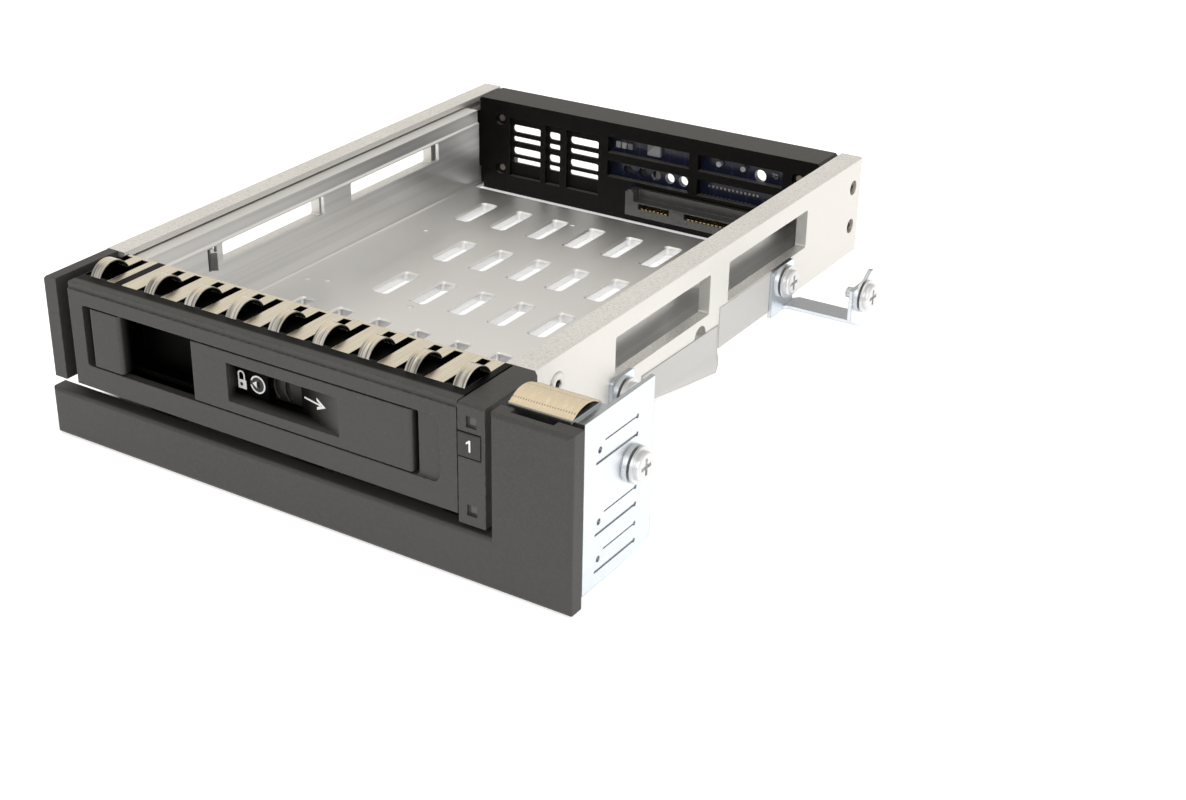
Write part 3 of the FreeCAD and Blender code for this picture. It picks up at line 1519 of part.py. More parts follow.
def rear_bracket():
    """The zinc bracket that carries the rear bay screw out to the bay's full width."""
    y = side_hole_columns[1]
    half = rear_plate_length / 2.0
    z0 = rail_bottom - bracket_sheet - fit_gap
    z1 = z0 + bracket_sheet
    plate = box(rail_right, rail_right + bracket_sheet, y - half, y + half, z0,
                side_hole_height + rear_plate_rise)
    plate = plate.makeFillet(plate_corner, edges_along(plate, X_AXIS, lambda p: p.z > z0 + near))
    arm_end = y + half + rear_arm_shift
    arm_start = arm_end - rear_arm_width
    arm_left = rail_right + bracket_sheet * 2.0
    arm = slab([(rail_right, y), (arm_left, arm_start), (side_plate_outer, arm_start),
                (side_plate_outer, arm_end), (arm_left, arm_end), (rail_right, y + half)], z0, z1)
    screw_y = rear_screw_y()
    front = screw_y - rear_flange_length / 2.0
    back = screw_y + rear_flange_length / 2.0
    flange_top = side_hole_height + rear_flange_rise
    ear_top = flange_top + rear_flange_ear
    flange = profile([(front, z0 + rear_flange_cut), (arm_start, z0), (arm_end, z0),
                      (back, z0 + rear_flange_lift), (back, ear_top), (back - rear_ear_width, ear_top),
                      (back - rear_ear_base, flange_top), (front, flange_top)],
                     side_plate_inner, side_plate_outer)
    body = joined([plate, arm, flange])
    through = bracket_sheet + 2 * over
    holes = [
        rod(screw_radius + fit_gap, through, Vector(rail_right - over, y, side_hole_height), X_AXIS),
        rod(side_hole_radius, through, Vector(side_plate_inner - over, screw_y, side_hole_height), X_AXIS),
    ]
    return body.cut(holes)


def bay_screw_places():
    """The four screws with washers, each as a point on its sheet's outer face."""
    first, second = side_hole_columns
    return (
        Vector(rail_right + bracket_sheet, first, side_hole_height),
        Vector(rail_right + bracket_sheet, second, side_hole_height),
        Vector(side_plate_outer, side_screw_y, bracket_screw_height),
        Vector(side_plate_outer, rear_screw_y(), side_hole_height),
    )


def rear_screw_y():
    """Where the rear bracket's outer screw stands."""
    return side_hole_columns[1] + rear_arm_shift


def bay_screws():
    """The pan head bay screws, each standing on its two washers."""
    screws = []
    stack = washer_thickness + split_washer_thickness
    length = stack + screw_flange_thickness + bracket_sheet + rail_web
    for point in bay_screw_places():
        seat = point + Vector(stack, 0, 0)
        flange = rod(screw_flange_radius, screw_flange_thickness, seat, X_AXIS)
        screw = pan_screw(seat + Vector(screw_flange_thickness, 0, 0), X_AXIS * -1.0, length,
                          side_hole_radius - press_gap, screw_head_radius, screw_head_height)
        screws.append(joined([screw, flange]))
    return group(screws)


def flat_washers():
    """The flat washers under the bay screws."""
    inner = screw_radius + fit_gap
    return group([ring(washer_radius, inner, washer_thickness, point, X_AXIS)
                  for point in bay_screw_places()])


def split_washers():
    """The split spring washers under the bay screws' heads."""
    inner = screw_radius + fit_gap
    washers = []
    for point in bay_screw_places():
        start = point + Vector(washer_thickness, 0, 0)
        washer = ring(split_washer_radius, inner, split_washer_thickness, start, X_AXIS)
        gap = box(start.x - over, start.x + split_washer_thickness + over, 
                  start.y - split_washer_gap / 2.0, start.y + split_washer_gap / 2.0,
                  start.z, start.z + split_washer_radius + over)
        washers.append(washer.cut(gap))
    return group(washers)


def frame_screws():
    """The small screws that hold the backplane frame between the rails."""
    screws = []
    for z in frame_screw_levels():
        for x, axis in ((rail_left, X_AXIS), (rail_right, X_AXIS * -1.0)):
            start = Vector(x, frame_screw_y(), z) + axis * frame_screw_sink
            screws.append(pan_screw(start, axis, rail_web - frame_screw_sink + frame_screw_grip,
                                    small_screw_radius, small_head_radius, frame_screw_head))
    return group(screws)


def board_screws():
    """The screws that hold the board to the frame's bosses."""
    screws = []
    for x, z in board_screw_places():
        screws.append(pan_screw(Vector(x, board_back, z), Y_AXIS * -1.0,
                                board_back - frame_front - screw_well_depth,
                                small_screw_radius, small_head_radius, small_head_height))
    return group(screws)


def faceplate_screws():
    """The screws from below into the crossbar, and the two into the block's bosses."""
    screws = []
    for x in bezel_lug_columns():
        screws.append(pan_screw(Vector(x, lug_screw_y(), lug_top - lug_height), Z_AXIS,
                                lug_height + crossbar_bottom + crossbar_thickness - lug_top,
                                small_screw_radius, small_head_radius, small_head_height))
    for z in boss_levels():
        screws.append(pan_screw(Vector(boss_column(), side_plate_front + bracket_sheet, z), Y_AXIS * -1.0,
                                bracket_sheet + side_plate_front - faceplate_wall - screw_end_room,
                                small_screw_radius,
                                small_head_radius, small_head_height))
    return group(screws)


# ---------------------------------------------------------------- gasket and labels

def gasket_left():
    """The left end of the block's contact strip."""
    return block_left + gasket_setback


def gasket_front():
    """The front edge of the block's contact strip."""
    return faceplate_depth + gasket_setback


def gasket_back():
    """The back edge of the block's contact strip."""
    return gasket_front() + gasket_depth + 2 * gasket_lip


def clip_feet_columns():
    """The clip's two feet."""
    middle = gasket_left() + gasket_width / 2.0
    return (middle - clip_foot_spacing / 2.0, middle + clip_foot_spacing / 2.0)


def clip_top():
    """The upper face of the gasket's clip."""
    return shelf_top + clip_thickness


def bay_gasket():
    """The arched contact strip on the faceplate's block."""
    level = clip_top()
    bow = arch(gasket_left(), gasket_width, gasket_front() + gasket_lip, gasket_depth, gasket_rise,
               level, gasket_thickness)
    front_lip = box(gasket_left(), gasket_left() + gasket_width, gasket_front(),
                    gasket_front() + gasket_lip + gasket_lap, level, level + gasket_thickness)
    back_lip = box(gasket_left(), gasket_left() + gasket_width,
                   gasket_back() - gasket_lip - gasket_lap, gasket_back(), level, level + gasket_thickness)
    return joined([bow, front_lip, back_lip])


def gasket_clip():
    """The bright clip that holds the contact strip on the bracket's shelf."""
    base = box(gasket_left(), gasket_left() + gasket_width, gasket_front(), gasket_back(),
               shelf_top, clip_top())
    feet = []
    half = clip_foot_width / 2.0
    foot_y = gasket_front() + clip_foot_setback
    for x in clip_feet_columns():
        feet.append(box(x - half, x + half, foot_y, foot_y + clip_foot_depth,
                        shelf_bottom - clip_foot_reach, shelf_top + join))
    return joined([base] + feet)


def wrap_label():
    """A bare silver label on the right rail's outer face, down to its lower edge."""
    y0 = rail_start + wrap_label_start
    y1 = side_hole_columns[1] - rear_plate_length / 2.0 - fit_gap
    return box(rail_right, rail_right + label_thickness, y0, y1,
               rail_bottom + rail_edge, rail_bottom + wrap_label_rise)


def flap_label():
    """A bare paper label on the rail's foot whose loose lower edge curls inwards."""
    y0 = rail_start + flap_label_start
    y1 = y0 + flap_label_length
    low = rail_bottom + rail_edge
    stuck = profile([(y0, low), (y0, rail_bottom + flap_label_front_rise),
                     (y0 + flap_label_bend, rail_bottom + flap_label_back_rise),
                     (y1, low + label_thickness), (y1, low)],
                    rail_right, rail_right + label_thickness)
    rings = []
    for index in range(flap_label_steps + 1):
        share = index / flap_label_steps
        y = y0 + share * flap_label_length
        drop = flap_label_front_drop + (flap_label_drop - flap_label_front_drop) * share
        lean = (1.0 - share) * flap_label_lean
        outer_x = rail_right + label_thickness
        outer = [Vector(outer_x, y, low + label_thickness),
                 Vector(outer_x, y, rail_bottom - label_thickness),
                 Vector(outer_x - lean * flap_mid_lean, y, rail_bottom - drop * flap_mid_drop),
                 Vector(outer_x - lean, y, rail_bottom - drop)]
        inner = [point - Vector(label_thickness, 0, 0) for point in outer]
        rings.append(Part.makePolygon(outer + inner[::-1] + [outer[0]]))
    flap = Part.makeLoft(rings, True, True)
    return joined([stuck, flap])


# ---------------------------------------------------------------- the whole part

def build():
    """All nodes by name, in the bay frame."""
    return {
        "faceplate": faceplate(),
        "cage_front": cage_front(),
        "number_plate": number_plate(),
        "upper_light_pipe": light_pipe(pipe_places()[0]),
        "lower_light_pipe": light_pipe(pipe_places()[1]),
        "lamp_board": lamp_board(),
        "left_rail": rail(rail_left, left_web, left_lip),
        "right_rail": rail(rail_right, right_web, right_lip),
        "backplane_frame": backplane_frame(),
        "backplane_board": board(),
        "board_parts": board_parts(),
        "drive_connector": drive_connector(),
        "drive_contacts": drive_contacts(),
        "rear_data_socket": rear_socket(data_socket_share, data_socket_width),
        "rear_power_socket": rear_socket(power_socket_share, power_socket_width),
        "side_bracket": side_bracket(),
        "rear_bracket": rear_bracket(),
        "bay_screws": bay_screws(),
        "flat_washers": flat_washers(),
        "split_washers": split_washers(),
        "frame_screws": frame_screws(),
        "board_screws": board_screws(),
        "faceplate_screws": faceplate_screws(),
        "bay_gasket": bay_gasket(),
        "gasket_clip": gasket_clip(),
        "wrap_label": wrap_label(),
        "flap_label": flap_label(),
        "carrier_front": carrier_front(),
        "tray": tray(),
        "tray_screws": tray_screws(),
        "shield_strip": shield_strip(),
        "short_shield_strip": short_shield_strip(),
        "lever": lever(),
        "lever_pin": lever_pin(),
        "latch_slide": latch_slide(),
        "latch_spring": latch_spring(),
        "lock_barrel": lock_barrel(),
    }


def origin_shift():
    """The move that puts the origin at the middle of the part's underside."""
    screw_end = (side_plate_outer + washer_thickness + split_washer_thickness
                 + screw_flange_thickness + screw_head_height)
    socket_end = board_back + socket_depth
    middle_x = (0 + max(screw_end, bay_width)) / 2.0
    middle_y = (0 + max(rail_end, socket_end)) / 2.0
    return Vector(-middle_x, -middle_y, 0)


def main():
    """Build every node and write one STEP file for each."""
    os.makedirs("parts", exist_ok=True)
    shift = origin_shift()
    for name, shape in build().items():
        shape.translate(shift)
        if not shape.isValid():
            raise ValueError(name + " is not a valid solid")
        shape.exportStep("parts/" + name + ".step")
        print(name, len(shape.Solids), round(shape.Volume, 1))


main()
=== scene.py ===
"""Looks of a hot swap drive caddy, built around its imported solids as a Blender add-on."""

import json
import math
import random

import bmesh
import bpy
from mathutils import Matrix, Vector

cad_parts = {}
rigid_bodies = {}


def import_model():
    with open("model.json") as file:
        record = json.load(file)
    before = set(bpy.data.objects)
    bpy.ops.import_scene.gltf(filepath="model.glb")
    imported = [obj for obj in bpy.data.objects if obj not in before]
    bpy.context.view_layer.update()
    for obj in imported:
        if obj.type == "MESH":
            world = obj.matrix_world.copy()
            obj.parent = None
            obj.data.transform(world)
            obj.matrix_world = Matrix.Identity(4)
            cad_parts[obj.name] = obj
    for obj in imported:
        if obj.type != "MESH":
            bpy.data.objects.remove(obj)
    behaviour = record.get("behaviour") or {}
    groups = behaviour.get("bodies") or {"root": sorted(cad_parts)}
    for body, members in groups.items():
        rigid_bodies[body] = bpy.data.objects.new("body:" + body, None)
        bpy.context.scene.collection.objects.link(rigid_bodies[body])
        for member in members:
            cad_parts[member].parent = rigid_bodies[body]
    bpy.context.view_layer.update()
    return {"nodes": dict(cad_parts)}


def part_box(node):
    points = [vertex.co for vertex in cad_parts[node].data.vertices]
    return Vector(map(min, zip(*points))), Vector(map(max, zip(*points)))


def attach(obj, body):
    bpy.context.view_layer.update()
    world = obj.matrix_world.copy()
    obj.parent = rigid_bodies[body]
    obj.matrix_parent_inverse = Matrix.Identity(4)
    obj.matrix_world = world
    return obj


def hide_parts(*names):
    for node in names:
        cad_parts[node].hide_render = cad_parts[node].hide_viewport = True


bl_info = {
    "name": "Drive caddy looks",
    "version": (1, 0, 0),
    "blender": (4, 5, 0),
    "location": "3D View > Sidebar > Caddy",
    "description": "Finishes, printed marks and small details of a hot swap drive caddy",
    "category": "Object",
}

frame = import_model()

MM = 0.001
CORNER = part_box("faceplate")[0]
RIGHT = Vector((1, 0, 0))
BACK = Vector((0, 1, 0))
UP = Vector((0, 0, 1))

# Places in millimetres from the faceplate's front, bottom, left corner.
CAMERA_PLACE = (318.95, -272.56, 209.86)
CAMERA_TARGET = (96.217, 36.523, 11.294)
FRONT_FOOT_Y = 4.3
TRAY_FLOOR_TOP = 17.7
PRESSED_SPOTS = ((16.9, 76.8), (22.2, 78.7), (22.4, 122.2), (54.8, 148.3), (51.0, 76.5),
                 (112.0, 76.8), (107.0, 78.7), (107.0, 122.2))
SNAP_HOLE = (0.0, 30.2, 34.7)
REAR_SCREW_Z = 21.8
SIDE_SCREW_Z = 23.8
PAD_ROWS = ((26.9, 83.2), (23.9, 80.9))
EDGE_MARK_X = (50.3, 79.6)
EDGE_MARK_Z = (25.4, 26.8, 28.2, 32.8, 34.2, 35.6)
PART_CLUSTERS = ((64.6, 66.9, 32.7, 34.8), (103.0, 104.4, 33.2, 34.6))


def at(x, y, z):
    """A point given in millimetres from the faceplate's front, bottom, left corner."""
    return CORNER + Vector((x, y, z)) * MM


# ------------------------------------------------------------------ shader maths


class Signal:
    """A shader socket that can be used in Python expressions on numbers."""

    def __init__(self, finish, socket):
        self.finish = finish
        self.socket = socket

    def _math(self, operation, first, second):
        return self.finish.node("ShaderNodeMath", {"operation": operation}, {0: first, 1: second})

    def __add__(self, other):
        return self._math("ADD", self, other)

    def __radd__(self, other):
        return self._math("ADD", other, self)

    def __sub__(self, other):
        return self._math("SUBTRACT", self, other)

    def __rsub__(self, other):
        return self._math("SUBTRACT", other, self)

    def __mul__(self, other):
        return self._math("MULTIPLY", self, other)


class Finish:
    """One procedural material and the nodes that make it."""

    SOCKETS = {"colour": "Base Color", "roughness": "Roughness", "metallic": "Metallic",
               "light": "Emission Color"}

    def __init__(self, name, roughness=0.5, metallic=0.0, specular=0.5, coat=0.0):
        self.material = bpy.data.materials.new(name)
        self.material.use_nodes = True
        self.tree = self.material.node_tree
        self.shader = next(n for n in self.tree.nodes if n.type == "BSDF_PRINCIPLED")
        self.shader.inputs["Roughness"].default_value = roughness
        self.shader.inputs["Metallic"].default_value = metallic
        self.shader.inputs["Specular IOR Level"].default_value = specular
        self.shader.inputs["Coat Weight"].default_value = coat
        self.place = self.node("ShaderNodeTexCoord", output="Object")

    def node(self, kind, settings=None, inputs=None, output=0):
        """A node with its settings made first, then its inputs' values or links."""
        made = self.tree.nodes.new(kind)
        for key, value in (settings or {}).items():
            setattr(made, key, value)
        for key, value in (inputs or {}).items():
            if isinstance(value, Signal):
                self.tree.links.new(value.socket, made.inputs[key])
            else:
                made.inputs[key].default_value = value
        return Signal(self, made.outputs[output])

    def stretched(self, scale):
        """Object coordinates with their own scale on each axis."""
        return self.node("ShaderNodeMapping", {"vector_type": "POINT"},
                         {"Vector": self.place, "Scale": scale})

    def noise(self, scale, detail=2.0, place=None, roughness=0.5):
        """Soft noise from 0 to 1."""
        return self.node("ShaderNodeTexNoise", {"noise_dimensions": "3D"},
                         {"Vector": place or self.place, "Scale": scale, "Detail": detail,
                          "Roughness": roughness}, "Fac")

    def cells(self, scale):
        """A random grey for each cell of a crystalline pattern."""
        colour = self.node("ShaderNodeTexVoronoi", {"feature": "F1"},
                           {"Vector": self.place, "Scale": scale}, "Color")
        return self.node("ShaderNodeSeparateColor", {}, {"Color": colour}, "Red")

    def part(self, vector, axis):
        """One axis of a vector."""
        return self.node("ShaderNodeSeparateXYZ", {}, {0: vector}, axis)

    def facing_up(self, low=0.55, high=0.8):
        """How far the surface faces up, from 0 to 1."""
        normal = self.node("ShaderNodeTexCoord", output="Normal")
        return self.spread(self.part(normal, "Z"), low, high)

    def rounded(self, radius):
        """The surface's direction as if its edges had a radius, in millimetres."""
        return self.node("ShaderNodeBevel", {"samples": 4}, {"Radius": radius * MM})

    def sharp_edges(self, radius):
        """Where the surface turns a sharp corner, from 0 to 1."""
        true = self.node("ShaderNodeNewGeometry", output="Normal")
        same = self.node("ShaderNodeVectorMath", {"operation": "DOT_PRODUCT"},
                         {0: self.rounded(radius), 1: true}, "Value")
        return self.spread(same, 0.98, 0.82)

    def spread(self, signal, low, high):
        """A signal stretched from low..high to 0..1, held at its ends."""
        return self.node("ShaderNodeMapRange", {"clamp": True},
                         {"Value": signal, "From Min": low, "From Max": high})

    def blend(self, share, first, second):
        """Two colours mixed by a signal."""
        made = self.tree.nodes.new("ShaderNodeMix")
        made.data_type = "RGBA"
        self.tree.links.new(share.socket, made.inputs["Factor"])
        for key, value in (("A", first), ("B", second)):
            socket = next(s for s in made.inputs if s.name == key and s.type == "RGBA")
            if isinstance(value, Signal):
                self.tree.links.new(value.socket, socket)
            else:
                socket.default_value = (*value, 1.0)
        return Signal(self, next(s for s in made.outputs if s.type == "RGBA"))

    def set(self, **signals):
        """Links signals to the shader's sockets."""
        for key, value in signals.items():
            self.tree.links.new(value.socket, self.shader.inputs[self.SOCKETS[key]])

    def relief(self, height, strength, depth, edge=None):
        """Ends the finish with bumps of a depth, and rounded edges, in millimetres."""
        inputs = {"Height": height, "Strength": strength, "Distance": depth * MM}
        if edge:
            inputs["Normal"] = self.rounded(edge)
        bump = self.node("ShaderNodeBump", {}, inputs)
        self.tree.links.new(bump.socket, self.shader.inputs["Normal"])
        return self.material


def scaled(colour, amount):
    """The colour made lighter or darker."""
    return tuple(min(1.0, part * amount) for part in colour)


# ------------------------------------------------------------------ finishes


def moulded_black(name, colour, grain=1.0, shade=None, roughness=0.42, coat=0.0, specular=0.5):
    """Black moulded plastic with a fine, even grain, edges lightened partly as rubbed wear and
    partly as painted highlight, faint handling marks, and painted shade where a shade is given.
    """
    finish = Finish(name, roughness=0.5, specular=specular, coat=coat)
    cloud = finish.noise(28.0, 3.0)
    mottle = finish.noise(700.0, 3.0)
    fine = finish.noise(3600.0 * grain)
    dust = finish.spread(finish.noise(620.0), 0.70, 0.76)
    speckle = finish.spread(finish.noise(2400.0), 0.48, 0.70)
    patches = finish.spread(cloud + mottle * 0.6, 0.5, 1.1)
    # Sharp edges are lightened: partly rubbed wear, partly a painted highlight along the edges.
    wear_and_edge_highlight = finish.sharp_edges(0.30) * finish.spread(mottle, 0.40, 0.58)
    base = finish.blend(patches, scaled(colour, 0.84), scaled(colour, 1.16))
    base = finish.blend(speckle, base, scaled(colour, 1.25))
    base = finish.blend(dust * 0.10, base, (0.16, 0.15, 0.14))
    base = finish.blend(wear_and_edge_highlight * 0.7, base, scaled(colour, 3.6))
    # Painted shade: where the shade mask is full, the colour goes near black and the surface turns
    # metallic, so it reflects almost nothing.
    if shade:
        painted_shade = shade(finish)
        base = finish.blend(painted_shade, base, scaled(colour, 0.10))
        finish.set(metallic=painted_shade)
    sheen = roughness + fine * 0.14 + cloud * 0.06 - wear_and_edge_highlight * 0.12
    finish.set(colour=base, roughness=sheen)
    return finish.relief(fine + mottle * 0.7, 0.34, 0.05, edge=0.35)


def deeper_than(node, near, far):
    """A painted shade that starts near and is full far behind a node's front, in millimetres,
    blackening its recesses.
    """
    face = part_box(node)[0].y
    return lambda finish: finish.spread(finish.part(finish.place, "Y"),
                                        face + near * MM, face + far * MM)


def all_but_the_top(finish):
    """Painted shade on every side except the one that faces up; that side keeps the finish's full
    colour as painted light.
    """
    return (1.0 - finish.facing_up()) * 0.9


def blasted_aluminium(name, colour):
    """Blasted and anodised aluminium: sides a flat, slightly darker copy as painted shade, with
    dark grain specks and painted glints much stronger on the faces that look up.
    """
    finish = Finish(name, metallic=1.0)
    top = finish.facing_up()
    grains = finish.noise(3400.0, 3.0, roughness=0.7)
    cloud = finish.noise(40.0)
    specks = finish.spread(finish.noise(1500.0), 0.54, 0.66)
    painted_glints = finish.spread(finish.noise(1900.0), 0.60, 0.68)
    base = finish.blend(finish.spread(cloud, 0.3, 0.7), scaled(colour, 0.96), scaled(colour, 1.03))
    # Painted shade: the sides take a flat colour a little darker than the faces that look up.
    base = finish.blend(top, scaled(colour, 0.90), base)
    # Dark grain specks, painted much stronger on the upward faces, then painted glints on those
    # faces.
    base = finish.blend(specks * (0.06 + top * 0.42), base, scaled(colour, 0.70))
    base = finish.blend(painted_glints * top * 0.8, base, scaled(colour, 1.35))
    finish.set(colour=base, roughness=0.44 + grains * 0.14)
    return finish.relief(grains, 0.45, 0.08, edge=0.25)


def rolled_zinc(name, colour):
    """Zinc coated sheet, with painted reflection streaks along its length on the sides."""
    finish = Finish(name, metallic=1.0)
    side = 1.0 - finish.facing_up(0.3, 0.6)
    streaks = finish.noise(1.0, place=finish.stretched((240.0, 5.0, 480.0)))
    cloud = finish.noise(16.0)
    waves = finish.noise(26.0, 1.0)
    base = finish.blend(finish.spread(cloud, 0.3, 0.7), scaled(colour, 0.95), scaled(colour, 1.04))
    # Painted reflection: dark streaks along the length, on the sides only.
    reflection_streaks = finish.spread(streaks, 0.45, 0.62) * side * 0.30
    base = finish.blend(reflection_streaks, base, scaled(colour, 0.66))
    finish.set(colour=base, roughness=0.30 + cloud * 0.10 + streaks * 0.05)
    return finish.relief(waves, 0.16, 0.30, edge=0.3)


def plated_zinc(name, colour, roughness, top=1.0):
    """Zinc plate with a trace of crystal spangle, painted shade in its creases and along its edges,
    and its upward faces recoloured by top as painted light.
    """
    finish = Finish(name, metallic=1.0)
    spangle = finish.cells(420.0)
    fine = finish.noise(1800.0)
    base = finish.blend(spangle * 0.25, colour, scaled(colour, 0.86))
    # Painted light: faces that look up take the colour times top; the brackets' top of 0.66 paints
    # them darker.
    base = finish.blend(finish.facing_up(), base, scaled(colour, top))
    # Painted shade in creases and along sharp edges.
    base = finish.blend(finish.sharp_edges(0.35) * 0.75, base, scaled(colour, 0.22))
    finish.set(colour=base, roughness=roughness + fine * 0.08 + spangle * 0.03)
    return finish.relief(fine, 0.06, 0.02, edge=0.2)


def spring_steel(name, colour):
    """Satin spring strip: pale gold where it lies flat, and a painted reflection of steel, banded
    light and dark, where it arches.
    """
    finish = Finish(name, metallic=1.0)
    brushed = finish.noise(1.0, place=finish.stretched((2400.0, 90.0, 90.0)))
    fine = finish.spread(brushed, 0.36, 0.64)
    # Painted reflection: where the strip arches, its colour turns to banded steel grey instead of
    # gold.
    arched = 1.0 - finish.facing_up(0.86, 0.985)
    arch_reflection = finish.blend(fine, (0.20, 0.19, 0.175), (0.74, 0.72, 0.67))
    flat = finish.blend(fine, scaled(colour, 0.93), scaled(colour, 1.05))
    finish.set(colour=finish.blend(arched, flat, arch_reflection),
               roughness=0.20 + brushed * 0.12 + arched * 0.04)
    return finish.relief(brushed, 0.12, 0.02, edge=0.1)


def metal_cloth(name, colour):
    """Metallised thread, woven along the piece's own map and sewn along two lines."""
    finish = Finish(name, metallic=0.55)
    across = finish.node("ShaderNodeUVMap", {"uv_map": "cloth"})

    def threads(axis, scale):
        return finish.node("ShaderNodeTexWave", {"wave_type": "BANDS", "bands_direction": axis},
                           {"Vector": across, "Scale": scale, "Distortion": 0.8, "Detail": 1.0},
                           "Fac")

    warp = threads("X", 19.0)
    weft = threads("Y", 24.0)
    slubs = finish.noise(1.0, 3.0, place=finish.stretched((1500.0, 500.0, 500.0)))
    pulse = finish.node("ShaderNodeMath", {"operation": "SINE"},
                        {0: finish.part(across, "X") * 150.0})
    dashes = finish.spread(pulse, -0.2, 0.4)
    base = finish.blend(warp * weft * 0.5, colour, scaled(colour, 0.74))
    base = finish.blend(finish.spread(slubs, 0.5, 0.8) * 0.5, base, scaled(colour, 1.3))
    for line, strength in ((0.16, 0.75), (0.60, 0.40)):
        apart = finish.node("ShaderNodeMath", {"operation": "ABSOLUTE"},
                            {0: finish.part(across, "Y") - line})
        stitch = finish.spread(apart, 0.028, 0.008) * dashes * strength
        base = finish.blend(stitch, base, scaled(colour, 0.30))
    finish.set(colour=base, roughness=0.42 + slubs * 0.2)
    return finish.relief(warp * 0.6 + weft * 0.6 + slubs * 1.5, 0.30, 0.08)


def bare_film(name, colour):
    """Plain label film with slight waves."""
    finish = Finish(name, roughness=0.5, specular=0.4)
    waves = finish.noise(180.0)
    fine = finish.noise(2600.0)
    finish.set(colour=finish.blend(fine, scaled(colour, 0.96), colour),
               roughness=0.45 + fine * 0.12)
    return finish.relief(waves, 0.25, 0.12)


def solder_mask(name, colour):
    """Dark circuit board under glossy solder mask, with tracks just showing."""
    finish = Finish(name, roughness=0.3, coat=0.3)
    tracks = finish.node("ShaderNodeTexBrick", {"offset": 0.35},
                         {"Vector": finish.stretched((520.0, 520.0, 520.0)), "Scale": 1.0,
                          "Mortar Size": 0.06, "Brick Width": 2.6, "Row Height": 0.7}, "Fac")
    finish.set(colour=finish.blend(tracks, colour, scaled(colour, 2.4)),
               roughness=0.30 + tracks * 0.1)
    return finish.relief(tracks, 0.3, 0.03)


def speckled(name, colour, pattern, scale, darkest, sheen, bumps, edge=None, **base):
    """A finish whose colour, roughness and bumps all follow one noise or cell pattern."""
    finish = Finish(name, **base)
    grey = getattr(finish, pattern)(scale)
    smooth, swing = sheen
    finish.set(colour=finish.blend(grey, scaled(colour, darkest), colour),
               roughness=smooth + grey * swing)
    strength, depth = bumps
    return finish.relief(grey, strength, depth, edge=edge)


def pale_floor(name, colour):
    """The matt floor, lit from within like a light table, with a painted shadow under the part's
    front where it is dark and gives no light.
    """
    finish = Finish(name, roughness=0.9, specular=0.1)
    finish.shader.inputs["Emission Strength"].default_value = bpy.context.scene.caddy_stage.glow
    low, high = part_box("cage_front")
    soft = 8.0 * MM
    across = finish.part(finish.place, "X")
    back = finish.part(finish.place, "Y")
    # Painted shadow: a soft-edged zone under the cage's front, where the floor turns dark and stops
    # glowing.
    shade = finish.spread(across, low.x - soft, low.x)
    shade = shade * finish.spread(across, high.x + soft, high.x)
    shade = shade * finish.spread(back, low.y, low.y + soft)
    shade = shade * finish.spread(back, high.y + 2 * soft, high.y)
    cloud = finish.noise(3.0)
    base = finish.blend(cloud, scaled(colour, 0.99), colour)
    finish.set(colour=finish.blend(shade, base, scaled(colour, 0.08)),
               roughness=0.85 + cloud * 0.05,
               light=finish.blend(shade, (1.0, 1.0, 1.0), (0.0, 0.0, 0.0)))
    return finish.relief(cloud, 0.02, 0.1)


